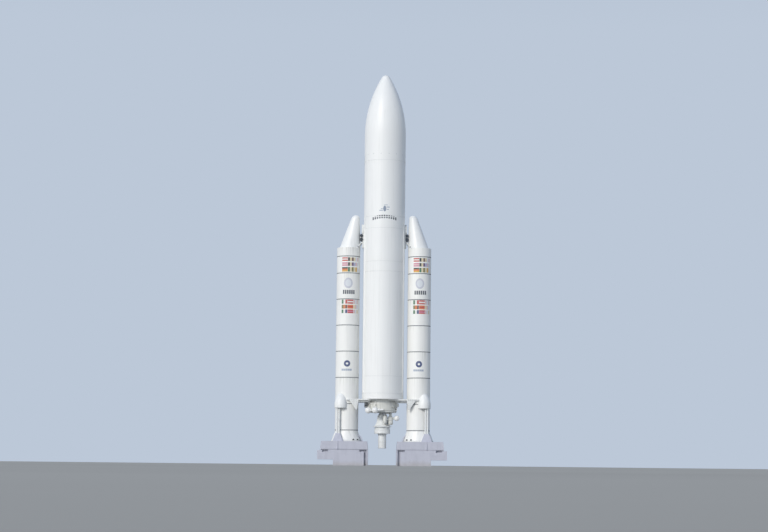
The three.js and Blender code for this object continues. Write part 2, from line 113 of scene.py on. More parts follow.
def sprayedPaint(name, clean, grime, dirt=0.5, rough=(0.3, 0.48), joints=None):
    # polyurethane sprayed on sheet metal: even and slightly wavy, with rain streaks and dust
    material, tree, place = startMaterial(name)
    across, along = 1 / skin["streakWidth"], 1 / skin["streakLength"]
    cloud = addNode(tree, "ShaderNodeTexNoise", {
        "Vector": place, "Scale": 1 / skin["cloudSize"], "Detail": 4.0, "Roughness": 0.55})
    tall = addNode(tree, "ShaderNodeMapping", {"Vector": place, "Scale": (across, across, along)})
    streak = addNode(tree, "ShaderNodeTexNoise", {
        "Vector": tall, "Scale": 0.35, "Detail": 3.0, "Roughness": 0.6})
    lines = rampStops(addNode(tree, "ShaderNodeValToRGB", {"Fac": streak}), (0.5, 0.0), (0.72, 1.0))
    patches = rampStops(addNode(tree, "ShaderNodeValToRGB", {"Fac": cloud}), (0.35, 0.25), (0.7, 1.0))
    runs = addNode(tree, "ShaderNodeMath", {0: lines, 1: patches}, operation="MULTIPLY")
    if joints:
        # dirt that washes down from each joint: joints holds their first height and pitch
        height = addNode(tree, "ShaderNodeSeparateXYZ", {0: place}).outputs["Z"]
        above = addNode(tree, "ShaderNodeMath", {0: height, 1: joints[0]}, operation="SUBTRACT")
        turns = addNode(tree, "ShaderNodeMath", {0: above, 1: joints[1]}, operation="DIVIDE")
        below = addNode(tree, "ShaderNodeMath", {0: turns}, operation="FRACT")
        fall = addNode(tree, "ShaderNodeMapRange", {
            "Value": below, "From Min": 0.62, "From Max": 1.0, "To Min": 0.35, "To Max": 1.5})
        runs = addNode(tree, "ShaderNodeMath", {0: runs, 1: fall}, operation="MULTIPLY")
    amount = addNode(tree, "ShaderNodeMath", {0: runs, 1: dirt}, operation="MULTIPLY", use_clamp=True)
    colour = addNode(tree, "ShaderNodeMix", {0: amount, 6: clean, 7: grime}, data_type="RGBA")
    gloss = addNode(tree, "ShaderNodeMapRange", {
        "Value": cloud, "From Min": 0.3, "From Max": 0.7, "To Min": rough[0], "To Max": rough[1]})
    peel, can = (addNode(tree, "ShaderNodeTexNoise", {"Vector": place, "Scale": 1 / skin[size], "Detail": 1.0})
                 for size in ("peelSize", "canSize"))
    waves = addNode(tree, "ShaderNodeMath", {0: peel, 1: 0.06, 2: can}, operation="MULTIPLY_ADD")
    bump = addNode(tree, "ShaderNodeBump", {"Height": waves, "Distance": skin["waveDepth"], "Strength": 0.6})
    finishMaterial(tree, {"Base Color": colour.outputs[2], "Roughness": gloss, "Normal": bump, "IOR": 1.48})
    return material


def brushedSteel(name, colour, rough):
    # stainless steel brushed round its axis: fine level lines that stretch the highlights
    material, tree, place = startMaterial(name)
    lines = addNode(tree, "ShaderNodeMapping", {"Vector": place, "Scale": (3, 3, 420)})
    grain = addNode(tree, "ShaderNodeTexNoise", {"Vector": lines, "Scale": 1.0, "Detail": 3.0})
    gloss = addNode(tree, "ShaderNodeMapRange", {"Value": grain, "To Min": rough[0], "To Max": rough[1]})
    bump = addNode(tree, "ShaderNodeBump", {"Height": grain, "Distance": 0.0006, "Strength": 0.4})
    finishMaterial(tree, {"Base Color": colour, "Metallic": 1.0, "Roughness": gloss, "Normal": bump})
    return material


def paintedConcrete(name, paint, worn, earth):
    # masonry paint rolled on cast concrete: matt, with pores, stains and splashed earth at the foot
    material, tree, place = startMaterial(name)
    stain = addNode(tree, "ShaderNodeTexNoise", {
        "Vector": place, "Scale": 1.3, "Detail": 6.0, "Roughness": 0.62})
    tall = addNode(tree, "ShaderNodeMapping", {"Vector": place, "Scale": (5, 5, 0.9)})
    runs = addNode(tree, "ShaderNodeTexNoise", {"Vector": tall, "Scale": 1.0, "Detail": 4.0})
    both = addNode(tree, "ShaderNodeMath", {0: stain, 1: runs}, operation="MULTIPLY")
    wear = rampStops(addNode(tree, "ShaderNodeValToRGB", {"Fac": both}), (0.2, 0.0), (0.5, 0.6))
    base = addNode(tree, "ShaderNodeMix", {0: wear, 6: paint, 7: worn}, data_type="RGBA")
    height = addNode(tree, "ShaderNodeSeparateXYZ", {0: place}).outputs["Z"]
    wavy = addNode(tree, "ShaderNodeMath", {0: stain, 1: -0.5, 2: height}, operation="MULTIPLY_ADD")
    splash = addNode(tree, "ShaderNodeMapRange", {
        "Value": wavy, "From Min": -0.22, "From Max": 0.12, "To Min": 0.45, "To Max": 0.0})
    colour = addNode(tree, "ShaderNodeMix", {0: splash, 6: base.outputs[2], 7: earth}, data_type="RGBA")
    pores = addNode(tree, "ShaderNodeTexVoronoi", {"Vector": place, "Scale": 34.0})
    holes = rampStops(addNode(tree, "ShaderNodeValToRGB", {"Fac": pores}), (0.04, 0.0), (0.16, 1.0))
    grit = addNode(tree, "ShaderNodeTexNoise", {"Vector": place, "Scale": 60.0, "Detail": 4.0})
    relief = addNode(tree, "ShaderNodeMath", {0: grit, 1: 0.6, 2: holes}, operation="MULTIPLY_ADD")
    bump = addNode(tree, "ShaderNodeBump", {"Height": relief, "Distance": 0.004, "Strength": 0.5})
    gloss = addNode(tree, "ShaderNodeMapRange", {"Value": stain, "To Min": 0.72, "To Max": 0.92})
    finishMaterial(tree, {"Base Color": colour.outputs[2], "Roughness": gloss, "Normal": bump})
    return material


def patchyCoat(name, colour, faded, share, scale, detail, rough, depth=None):
    # an even coat that fades in soft patches; share is how far it fades, depth how uneven it is
    material, tree, place = startMaterial(name)
    patches = addNode(tree, "ShaderNodeTexNoise", {"Vector": place, "Scale": scale, "Detail": detail})
    part = addNode(tree, "ShaderNodeMath", {0: patches, 1: share}, operation="MULTIPLY")
    mixed = addNode(tree, "ShaderNodeMix", {0: part, 6: colour, 7: faded}, data_type="RGBA")
    look = {"Base Color": mixed.outputs[2], "Roughness": rough}
    if depth:
        look["Normal"] = addNode(tree, "ShaderNodeBump", {
            "Height": patches, "Distance": depth, "Strength": 0.3})
    finishMaterial(tree, look)
    return material


def jointSealant(name, colour, faded):
    # polysulphide joint filler, tooled by hand: matt grey, chalky where the sun has faded it
    return patchyCoat(name, colour, faded, 1.0, 5.0, 5.0, 0.82, 0.003)


def castFilm(name, colour):
    # cast vinyl film stuck on the paint: even colour, a little sun-faded in soft patches
    return patchyCoat(name, colour, "d9d6d2", 0.22, 6.0, 3.0, 0.38, 0.001)


boosterFootTop = heights("booster_foot_right")[1]
casePitch = (heights("booster_centre_segment_right")[1] - heights("booster_aft_segment_right")[1]) / 3

whitePaint = sprayedPaint("sprayedWhitePaint", "eeefee", "bdbeb9", dirt=0.2)
boosterPaint = sprayedPaint("boosterWhitePaint", "f0f0ed", "aeada4", dirt=0.45,
                            joints=(boosterFootTop, casePitch))
fittingPaint = sprayedPaint("satinFittingPaint", "e2e4e3", "a4a49c", rough=(0.42, 0.6))
enginePaint = sprayedPaint("mattEnginePaint", "d8d9d5", "9c9b94", rough=(0.5, 0.68))
# satin dark paint: the valve box's and the port caps' own colour; also painted shade in the drain holes, in
# the tailpipe's bore and under the pods, and partly on the forward brackets
darkPaintAndShade = sprayedPaint("satinDarkPaintAndShade", "434b57", "2b3036", dirt=0.6, rough=(0.4, 0.55))
# dark olive sheet under the aft beams: painted shade under them
undersideShadePaint = sprayedPaint("oliveUndersideShade", "6d6c5a", "4d4b40", dirt=0.6, rough=(0.55, 0.7))
gimbalSteel = brushedSteel("brushedGimbalSteel", "c6c8cb", (0.42, 0.58))
boltSteel = brushedSteel("zincBoltSteel", "b9bbb8", (0.35, 0.55))
pipeSteel = brushedSteel("drawnPipeSteel", "cfcdc8", (0.35, 0.5))
plinthPaint = paintedConcrete("masonryPaintOnConcrete", "bec0cc", "a8aab7", "a09b94")
# darker copy of the plinth paint: painted shade on the slot's walls, the packing and the rebate under the
# slab; on the tie plugs it is their own colour
shadeAndPlugConcrete = paintedConcrete("recessShadeAndPlugConcrete", "b4b6c1", "9a9ba5", "8a867e")
paleSealant = jointSealant("paleJointSealant", "c0c4c7", "d2d4d4")
sealant = jointSealant("greyJointSealant", "8a9096", "a3a8ab")
darkSealant = jointSealant("darkJointSealant", "4d5359", "676d72")
# pale floated screed for the rocket to stand on
paleFloor = patchyCoat("paleScreed", "b6b3ab", "aaa79f", 1.0, 0.12, 6.0, 0.9)
filmColours = {   # plain colours of the film on the boosters and the core
    "red": "bf3a34", "white": "e4e4e0", "black": "25262b", "yellow": "d8a63a", "brown": "6a4636",
    "green": "35704e", "pink": "cb7c98", "purple": "5f4470", "orange": "d67332",
    "olive": "737039", "lavender": "a9aecb", "slate": "3c4554", "haze": "aab4c4", "navy": "233d74",
    "mist": "c6c9d4", "pale": "dbe0e6", "steel": "8291a6", "cream": "e0d2b0", "blush": "dcbfc0",
}
film = {colour: castFilm(colour + "CastFilm", code) for colour, code in filmColours.items()}
filmIndex = {colour: index for index, colour in enumerate(film)}

print("materials ready")


# Mesh building: every function that fills a bmesh also returns it

def frontTurn(azimuth):
    return math.radians(azimuth - 90)   # azimuth in degrees from the front, towards +X


def joinRings(bm, low, high, material=0, whole=True):
    # faces between two rings of vertices, either of which may be a single pole
    count = max(len(low), len(high))
    for step in range(count if whole else count - 1):
        after = (step + 1) % count
        corners = [low[step], low[after]] if len(low) > 1 else [low[0]]
        corners += [high[after], high[step]] if len(high) > 1 else [high[0]]
        if len(corners) > 2:
            bm.faces.new(corners).material_index = material


def turnRows(bm, rows, around, centre=(0.0, 0.0), start=0.0, sweep=math.tau, lean=0.0):
    # turns rows of (radius, height), some with a material index, about Z and closes their ends with poles;
    # lean shifts X by height above the first row
    whole = sweep == math.tau
    turns = [start + sweep * step / around for step in range(around if whole else around + 1)]
    rows = [(0, *rows[0][1:]), *rows] + ([(0, rows[-1][1])] if rows[-1][0] else [])
    rings = []
    for radius, height, *_ in rows:
        middle = Vector((centre[0] + lean * (height - rows[0][1]), centre[1], height))
        rings.append([bm.verts.new(middle + Vector((radius * math.cos(a), radius * math.sin(a), 0)))
                      for a in (turns if radius else turns[:1])])
    for low, high, row in zip(rings, rings[1:], rows):
        joinRings(bm, low, high, row[2] if len(row) > 2 else 0, whole)
    if not whole:
        bm.faces.new([ring[0] for ring in reversed(rings)])
        bm.faces.new([ring[-1] for ring in rings])
    return bm


def turnLoop(bm, loop, around, centre=(0.0, 0.0), start=0.0, sweep=math.tau, material=0):
    # turns a closed loop of (radius, height), outer side first and upwards: a ring, or a plate with ends
    whole = sweep == math.tau
    turns = [start + sweep * step / around for step in range(around if whole else around + 1)]
    rings = [[bm.verts.new((centre[0] + r * math.cos(a), centre[1] + r * math.sin(a), z)) for a in turns]
             for r, z in loop]
    for low, high in zip(rings, rings[1:] + rings[:1]):
        joinRings(bm, low, high, material, whole)
    for i in range(0 if whole else len(loop) // 2 - 1):
        for edge, way in ((0, 1), (-1, -1)):
            corners = [rings[j][edge] for j in (i, i + 1, -2 - i, -1 - i)]
            bm.faces.new(corners[::way]).material_index = material
    return bm


def addHoop(bm, radius, low, high, proud, around=96, centre=(0.0, 0.0), material=0):
    # raised band round a drum, with its corners taken off and its inside 10 mm under the skin
    soft, under = min(proud, high - low) * 0.3, radius - 0.01
    return turnLoop(bm, [(under, low), (radius + proud - soft, low), (radius + proud, low + soft),
                         (radius + proud, high - soft), (radius + proud - soft, high), (under, high)],
                    around, centre, material=material)


def addPlate(bm, azimuth, width, profile, lift, centre=(0.0, 0.0), material=0, bury=0.004):
    # curved plate on a turned skin, whose profile is (radius, height) from bottom to top
    sweep = width / profile[0][0]
    around, start = max(2, round(sweep / 0.06)), frontTurn(azimuth) - sweep / 2
    loop = [(r + lift, z) for r, z in profile] + [(r - bury, z) for r, z in reversed(profile)]
    return turnLoop(bm, loop, around, centre, start, sweep, material)


def addPatch(bm, azimuth, width, low, high, radius, lift, centre=(0.0, 0.0), material=0):
    # curved plate on a straight drum
    return addPlate(bm, azimuth, width, [(radius, low), (radius, high)], lift, centre, material)


def addDisc(bm, azimuth, height, outer, inner, radius, lift, centre=(0.0, 0.0), material=0, squash=1.0,
            around=40):
    # flat ring or disc bent onto a drum; squash is its height over its width
    (x, y), top, under, middle = centre, radius + lift, radius - 0.004, (outer + inner) / 2
    rings = []
    for size, level in ((outer, under), (outer, top), (middle, top), (inner, top), (inner, under),
                        (middle, under)):
        rings.append([])
        for turn in (math.tau * step / around for step in range(around if size else 1)):
            swing, rise = frontTurn(azimuth) + size * math.cos(turn) / radius, size * squash * math.sin(turn)
            place = (x + level * math.cos(swing), y + level * math.sin(swing), height + rise)
            rings[-1].append(bm.verts.new(place))
    for low, high in zip(rings, rings[1:] + rings[:1]):
        joinRings(bm, low, high, material)
    return bm


def addBlock(bm, low, high, material=0):
    corners = [(x, y, z) for z in (low[2], high[2]) for y in (low[1], high[1]) for x in (low[0], high[0])]
    verts = [bm.verts.new(corner) for corner in corners]
    for order in ((0, 2, 3, 1), (4, 5, 7, 6), (0, 1, 5, 4), (2, 6, 7, 3), (0, 4, 6, 2), (1, 3, 7, 5)):
        bm.faces.new([verts[i] for i in order]).material_index = material
    return bm


def addBar(bm, start, end, radius, around=24, material=0, bore=0.0):
    # round bar between two points, or a tube if it has a bore
    start, end = Vector(start), Vector(end)
    turn = (end - start).to_track_quat("Z", "Y")
    stops = [(start, radius), (end, radius)] + ([(end, bore), (start, bore)] if bore else [])
    turns = [math.tau * step / around for step in range(around)]
    rings = [[bm.verts.new(middle + turn @ Vector((size * math.cos(a), size * math.sin(a), 0))) for a in turns]
             for middle, size in stops]
    for low, high in zip(rings, rings[1:] + rings[:1] if bore else rings[1:]):
        joinRings(bm, low, high, material)
    for ring in () if bore else (rings[0][::-1], rings[1]):
        bm.faces.new(ring).material_index = material
    return bm


def addBall(bm, centre, size, around=48, material=0):
    # ball, or an egg where size has three half-lengths
    size = size if hasattr(size, "__len__") else (size, size, size)
    made = bmesh.ops.create_uvsphere(bm, u_segments=around, v_segments=around * 5 // 8, radius=1,
                                     matrix=Matrix.Translation(centre) @ Matrix.Diagonal((*size, 1)))
    for face in {face for vert in made["verts"] for face in vert.link_faces}:
        face.material_index = material
    return bm


def addPrism(bm, outline, front, back, material=0):
    # outline of (x, z) points, anticlockwise from the front, pulled from y = front to y = back
    near, far = ([bm.verts.new((x, y, z)) for x, z in outline] for y in (front, back))
    pairs = [(i, (i + 1) % len(outline)) for i in range(len(outline))]
    for corners in [near, far[::-1]] + [(near[j], near[i], far[i], far[j]) for i, j in pairs]:
        bm.faces.new(corners).material_index = material
    return bm


def soften(bm, edge, limit=35, segments=3):
    corners = [e for e in bm.edges if len(e.link_faces) == 2 and e.calc_face_angle(0) > math.radians(limit)]
    bmesh.ops.bevel(bm, geom=corners, offset=edge, segments=segments, profile=0.5, affect="EDGES",
                    clamp_overlap=True)
    return bm


def smoothProfile(points, steps):
    # rounded curve through (radius, height) points
    ends = [points[0], *points, points[-1]]
    curve = []
    for four in zip(ends, ends[1:], ends[2:], ends[3:]):
        for step in range(steps):
            t = step / steps
            curve.append(tuple(0.5 * (2 * q + (r - p) * t + (2 * p - 5 * q + 4 * r - s) * t ** 2
                                      + (3 * q - p - 3 * r + s) * t ** 3) for p, q, r, s in zip(*four)))
    return curve + [points[-1]]


def copyNode(node, edge):
    # merged copy of a CAD node's mesh, with its edges softened
    bm = bmesh.new()
    bm.from_mesh(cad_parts[node].data)
    bmesh.ops.remove_doubles(bm, verts=bm.verts, dist=1e-5)
    bmesh.ops.dissolve_limit(bm, angle_limit=math.radians(1), verts=bm.verts, edges=bm.edges)
    for face in bm.faces:
        face.material_index = 0
    return soften(bm, edge)


def cutPiece(bm, tools, cutMaterial=1):
    # subtracts closed tool meshes from bm and returns the result; cut faces get cutMaterial
    made = []
    for label, source in (("body", bm), ("tools", tools)):
        mesh = bpy.data.meshes.new(label)
        source.to_mesh(mesh)
        source.free()
        for _ in range(cutMaterial + 1):
            mesh.materials.append(whitePaint)
        made.append(bpy.data.objects.new(label, mesh))
        bpy.context.scene.collection.objects.link(made[-1])
    for face in made[1].data.polygons:
        face.material_index = cutMaterial
    cutter = made[0].modifiers.new("cut", "BOOLEAN")
    cutter.operation, cutter.solver, cutter.object = "DIFFERENCE", "EXACT", made[1]
    cut = made[0].evaluated_get(bpy.context.evaluated_depsgraph_get())
    result = bmesh.new()
    result.from_mesh(cut.to_mesh())
    cut.to_mesh_clear()
    for part in made:
        mesh = part.data
        bpy.data.objects.remove(part)
        bpy.data.meshes.remove(mesh)
    return result


# Finished pieces

def camel(name):
    first, *rest = name.split("_")
    return first + "".join(word.capitalize() for word in rest)


def finishPiece(name, mesh, body, sharp):
    # a plain mesh becomes a piece on a body; one with a CAD node's name stands for that node
    mesh.shade_smooth()
    mesh.set_sharp_from_angle(angle=math.radians(sharp))
    piece = bpy.data.objects.new(camel(name), mesh)
    bpy.context.scene.collection.objects.link(piece)
    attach(piece, body)
    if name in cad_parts:
        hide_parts(name)


def makePiece(name, bm, materials, body="root"):
    mesh = bpy.data.meshes.new(camel(name))
    bm.to_mesh(mesh)
    bm.free()
    for material in materials:
        mesh.materials.append(material)
    finishPiece(name, mesh, body, 32)


def copyPiece(node, edge, material, body="root"):
    makePiece(node, copyNode(node, edge), [material], body)


def makePair(name, build, materials):
    # build fills the right-hand piece; the left-hand one is its mirror image
    for side, way in sides.items():
        bm = build(bmesh.new())
        if way < 0:
            bmesh.ops.scale(bm, vec=(-1, 1, 1), verts=bm.verts)
            bmesh.ops.reverse_faces(bm, faces=bm.faces)
        makePiece(f"{name}_{side}", bm, materials)


# Geometry Nodes: trees built once, used by many pieces

def newTree(name, inputs):
    tree = bpy.data.node_groups.new(name, "GeometryNodeTree")
    for way in ("OUTPUT", "INPUT"):
        tree.interface.new_socket("Geometry", in_out=way, socket_type="NodeSocketGeometry")
    for label, kind in inputs.items():
        tree.interface.new_socket(label, in_out="INPUT", socket_type="NodeSocket" + kind)
    return tree, addNode(tree, "NodeGroupInput").outputs


def headsOnPoints():
    # a fastener head and its washer on each point, turned to the point's facing attribute
    tree, given = newTree("headsOnPoints", {"Head radius": "Float", "Head height": "Float", "Sides": "Int",
                                            "Washer": "Float", "Material": "Material"})
    head = addNode(tree, "GeometryNodeMeshCylinder", {
        "Vertices": given["Sides"], "Radius": given["Head radius"], "Depth": given["Head height"]})
    wide = addNode(tree, "ShaderNodeMath", {0: given["Head radius"], 1: given["Washer"]}, operation="MULTIPLY")
    thin = addNode(tree, "ShaderNodeMath", {0: given["Head height"], 1: 0.4}, operation="MULTIPLY")
    washer = addNode(tree, "GeometryNodeMeshCylinder", {"Vertices": 12, "Radius": wide, "Depth": thin})
    half = addNode(tree, "ShaderNodeMath", {0: given["Head height"], 1: 0.5}, operation="MULTIPLY")
    rise = addNode(tree, "ShaderNodeCombineXYZ", {"Z": half})
    lifted = addNode(tree, "GeometryNodeTransform", {"Geometry": head, "Translation": rise})
    pair = addNode(tree, "GeometryNodeJoinGeometry", {0: [lifted, washer]})
    facing = addNode(tree, "GeometryNodeInputNamedAttribute", {"Name": "facing"}, data_type="FLOAT_VECTOR")
    turn = addNode(tree, "FunctionNodeAlignRotationToVector", {"Vector": facing}, axis="Z")
    points = addNode(tree, "GeometryNodeMeshToPoints", {"Mesh": given["Geometry"]})
    placed = addNode(tree, "GeometryNodeInstanceOnPoints", {
        "Points": points, "Instance": pair, "Rotation": turn})
    real = addNode(tree, "GeometryNodeRealizeInstances", {0: placed})
    painted = addNode(tree, "GeometryNodeSetMaterial", {"Geometry": real, "Material": given["Material"]})
    addNode(tree, "NodeGroupOutput", {0: painted})
    return tree


def pipeRun():
    # round pipe along each line of edges, with rounded bends and clamps at an even pitch
    tree, given = newTree("pipeRun", {
        "Pipe radius": "Float", "Bend": "Float", "Clamp pitch": "Float", "Clamp radius": "Float",
        "Clamp length": "Float", "Material": "Material", "Clamp material": "Material"})
    line = addNode(tree, "GeometryNodeMeshToCurve", {"Mesh": given["Geometry"]})
    bent = addNode(tree, "GeometryNodeFilletCurve", {
        "Curve": line, "Radius": given["Bend"], "Limit Radius": True, "Count": 6}, mode="POLY")
    ring = addNode(tree, "GeometryNodeCurvePrimitiveCircle", {
        "Resolution": 16, "Radius": given["Pipe radius"]})
    tube = addNode(tree, "GeometryNodeCurveToMesh", {"Curve": bent, "Profile Curve": ring, "Fill Caps": True})
    pipe = addNode(tree, "GeometryNodeSetMaterial", {"Geometry": tube, "Material": given["Material"]})
    stops = addNode(tree, "GeometryNodeCurveToPoints", {"Curve": bent, "Length": given["Clamp pitch"]},
                    mode="LENGTH")
    band = addNode(tree, "GeometryNodeMeshCylinder", {
        "Vertices": 16, "Radius": given["Clamp radius"], "Depth": given["Clamp length"]})
    placed = addNode(tree, "GeometryNodeInstanceOnPoints", {
        "Points": stops, "Instance": band, "Rotation": stops.outputs["Rotation"]})
    real = addNode(tree, "GeometryNodeRealizeInstances", {0: placed})
    clamps = addNode(tree, "GeometryNodeSetMaterial", {"Geometry": real, "Material": given["Clamp material"]})
    both = addNode(tree, "GeometryNodeJoinGeometry", {0: [pipe, clamps]})
    addNode(tree, "NodeGroupOutput", {0: both})
    return tree


def ribsRound():
    # copies of one rib round a centre, at an even pitch all the way round
    tree, given = newTree("ribsRound", {"Count": "Int", "Pitch": "Float", "Centre": "Vector",
                                        "Material": "Material"})
    points = addNode(tree, "GeometryNodePoints", {"Count": given["Count"], "Position": given["Centre"]})
    index = addNode(tree, "GeometryNodeInputIndex")
    swing = addNode(tree, "ShaderNodeMath", {0: index, 1: given["Pitch"]}, operation="MULTIPLY")
    about = addNode(tree, "ShaderNodeCombineXYZ", {"Z": swing})
    turn = addNode(tree, "FunctionNodeEulerToRotation", {"Euler": about})
    placed = addNode(tree, "GeometryNodeInstanceOnPoints", {
        "Points": points, "Instance": given["Geometry"], "Rotation": turn})
    real = addNode(tree, "GeometryNodeRealizeInstances", {0: placed})
    painted = addNode(tree, "GeometryNodeSetMaterial", {"Geometry": real, "Material": given["Material"]})
    addNode(tree, "NodeGroupOutput", {0: painted})
    return tree


fastenerTree, pipeTree, ribTree = headsOnPoints(), pipeRun(), ribsRound()


def bakeTree(source, tree, values, name, body):
    # runs a tree on a bare mesh and keeps the result as a plain piece
    holder = bpy.data.objects.new(name + "Source", source)
    bpy.context.scene.collection.objects.link(holder)
    modifier = holder.modifiers.new("nodes", "NODES")
    modifier.node_group = tree
    for item in tree.interface.items_tree:
        if item.in_out == "INPUT" and item.name in values:
            modifier[item.identifier] = values[item.name]
    mesh = bpy.data.meshes.new_from_object(holder.evaluated_get(bpy.context.evaluated_depsgraph_get()))
    mesh.name = camel(name)
    bpy.data.objects.remove(holder)
    finishPiece(name, mesh, body, 40)


def addFasteners(name, spots, radius, height, material=boltSteel, body="root", washer=1.5, around=6):
    # spots are (place, facing) pairs
    mesh = bpy.data.meshes.new(name + "Points")
    mesh.from_pydata([place for place, _ in spots], [], [])
    facing = mesh.attributes.new("facing", "FLOAT_VECTOR", "POINT")
    for entry, (_, way) in zip(facing.data, spots):
        entry.vector = way
    bakeTree(mesh, fastenerTree, {"Head radius": radius, "Head height": height, "Sides": around,
                                  "Washer": washer, "Material": material}, name, body)


def addPipes(name, lines, radius, clamp, bend, body="root"):
    # lines are lists of corners; clamp is (pitch, radius, length); bend is the radius of the bends
    corners, edges = [], []
    for line in lines:
        edges += [(len(corners) + i, len(corners) + i + 1) for i in range(len(line) - 1)]
        corners += line
    mesh = bpy.data.meshes.new(name + "Lines")
    mesh.from_pydata(corners, edges, [])
    bakeTree(mesh, pipeTree, {"Pipe radius": radius, "Bend": bend, "Clamp pitch": clamp[0],
                              "Clamp radius": clamp[1], "Clamp length": clamp[2], "Material": pipeSteel,
                              "Clamp material": enginePaint}, name, body)


def addRibs(name, rib, count, material, body="root", centre=(0.0, 0.0, 0.0)):
    # rib is a bmesh of one rib, drawn about the centre
    mesh = bpy.data.meshes.new(name + "Rib")
    rib.to_mesh(mesh)
    rib.free()
    bakeTree(mesh, ribTree, {"Count": count, "Pitch": math.tau / count, "Centre": centre,
                             "Material": material}, name, body)


def skinSpot(azimuth, height, radius, centre=(0.0, 0.0), along=0.0):
    # place and facing of a point on a drum, along metres further round
    turn = frontTurn(azimuth) + along / radius
    out = Vector((math.cos(turn), math.sin(turn), 0))
    return Vector((*centre, height)) + out * radius, out


def ringSpots(count, radius, height, centre=(0.0, 0.0), start=0.0, facing=None):
    # even ring of spots that face outwards, or one given way
    spots = [skinSpot(start + 360 * step / count, height, radius, centre) for step in range(count)]
    return [(place, Vector(facing) if facing else out) for place, out in spots]


def flatSpots(xs, ys, zs, facing):
    # spots on a flat face at every mix of the places given
    return [(Vector((x, y, z)), Vector(facing)) for x in xs for y in ys for z in zs]


def bothSides(spots):
    return spots + [(Vector((-p.x, p.y, p.z)), Vector((-f.x, f.y, f.z))) for p, f in spots]


doorStyle = {
    "rim": (0.024, 0.001),      # how much larger than the plate, and its height
    "plate": 0.004,
    "screws": (0.018, 0.06),    # inset, pitch
}


def addDoor(bm, spots, azimuth, height, width, tall, radius):
    # access door: a shallow sealed rim, the door's plate, and screws round it
    (rim, low), thick, (inset, pitch) = (doorStyle[key] for key in ("rim", "plate", "screws"))
    for extra, lift, material in ((rim, low, 1), (0, thick, 0)):
        edge = (tall + extra) / 2
        addPatch(bm, azimuth, width + extra, height - edge, height + edge, radius, lift, material=material)
    wide, high = width / 2 - inset, tall / 2 - inset
    across, rows = max(2, round(2 * wide / pitch)), max(2, round(2 * high / pitch))
    rim = [(-wide + 2 * wide * i / across, way * high) for i in range(across + 1) for way in (-1, 1)]
    rim += [(way * wide, -high + 2 * high * i / rows) for i in range(1, rows) for way in (-1, 1)]
    spots += [skinSpot(azimuth, height + rise, radius + thick, along=along) for along, rise in rim]


print("helpers ready")


# Core

core = {
    "radius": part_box("core_tank")[1].x,
    "around": 192,
    "groove": 0.009,        # height of the sealed groove at each joint
    "grooveDepth": 0.004,
    "edge": 0.004,
    "bolts": (96, 0.045, 0.011, 0.005),   # count round each joint, distance from it, radius, height
    "free": (0.85, 0.1),    # half width and height left free of bolts where film lies over a joint
    "rings": {              # thicker skin: (low, high, proud) above each section's bottom
        "core_rim_band": [(0.02, 0.07, 0.006), (0.29, 0.34, 0.006)],
        "core_aft_skirt": [(0.03, 0.09, 0.004)],
        "core_tank": [],
        "core_intertank_ring": [(0.02, 0.08, 0.004), (0.56, 0.62, 0.004)],
        "core_forward_skirt": [(0.02, 0.08, 0.004)],
        "equipment_bay": [(0.02, 0.07, 0.004), (0.68, 0.73, 0.004)],
        "payload_carrier": [(3.59, 3.65, 0.005)],
    },
    "doors": (              # azimuth from the front, height of the middle, width, height
        (112, 15.86, 0.30, 0.24), (-112, 15.86, 0.24, 0.24), (-128, 15.86, 0.30, 0.30),
        (176, 15.86, 0.36, 0.30), (-104, 12.95, 0.26, 0.30), (118, 12.95, 0.22, 0.22),
        (150, 12.95, 0.30, 0.30), (-102, 5.35, 0.34, 0.42), (180, 5.35, 0.40, 0.50),
        (140, 5.30, 0.26, 0.26), (158, 14.90, 0.26, 0.30), (104, 16.90, 0.34, 0.44),
        (-128, 16.90, 0.34, 0.44), (-96, 20.60, 0.30, 0.40), (132, 20.60, 0.30, 0.40),
    ),
    "ribs": (               # name, count, width, low, high, thickness; the stringers lie under the skin
        ("forwardSkirtStringers", 60, 0.016, 13.42, 15.40, 0.002),
        ("rimBandClips", 90, 0.020, 4.39, 4.59, 0.003),
    ),
}
coreRadius = core["radius"]

for node, rings in core["rings"].items():
    # drum with a sealed groove at its top
    low, high = heights(node)
    top, edge, inner = high - core["groove"], core["edge"], coreRadius - core["grooveDepth"]
    rows = [(coreRadius - edge, low), (coreRadius, low + edge)]
    for start, end, proud in rings:
        rows += [(coreRadius, low + start), (coreRadius + proud, low + (start + edge)),
                 (coreRadius + proud, low + (end - edge)), (coreRadius, low + end)]
    rows += [(coreRadius, top - edge), (coreRadius - edge, top), (inner, top, 1), (inner, high, 1)]
    makePiece(node, turnRows(bmesh.new(), rows, core["around"]), [whitePaint, paleSealant])

fairing = {
    "rowCount": 44,
    "capRows": 12,
    "base": 21.7,           # height where the ogive leaves the barrel
    "length": 4.349,        # of the ogive before its tip is rounded
    "tipRadius": 0.3,
    "ring": ((0.03, 0), (0.034, 0.005), (0.086, 0.005), (0.09, 0)),   # thicker skin: height, proud
    "seam": 0.0003,
    "seamStrip": (0.055, 0.004, 0.1, 25.5),   # width, thickness, start above the fairing's foot, end
    "vents": (16, 20.35, 0.045),
}
fairingLow = heights("fairing_front_half")[0]


def fairingRows():
    # tangent ogive from the straight barrel to a round tip
    straight, tip, edge, count = fairing["base"], fairing["tipRadius"], core["edge"], fairing["capRows"]
    arc = (coreRadius ** 2 + fairing["length"] ** 2) / (2 * coreRadius)
    centre = math.sqrt((arc - tip) ** 2 - (arc - coreRadius) ** 2)
    last = math.asin(centre / (arc - tip))
    rows = [(coreRadius - edge, fairingLow), (coreRadius, fairingLow + edge)]
    rows += [(coreRadius + proud, fairingLow + height) for height, proud in fairing["ring"]]
    rows.append((coreRadius, (fairingLow + straight) / 2))
    for step in range(fairing["rowCount"] + 1):
        turn = last * step / fairing["rowCount"]
        rows.append((arc * math.cos(turn) - (arc - coreRadius), straight + arc * math.sin(turn)))
    for step in range(1, count + 1):
        turn = last + (math.pi / 2 - last) * step / count
        rows.append((tip * math.cos(turn) if step < count else 0, straight + centre + tip * math.sin(turn)))
    return rows


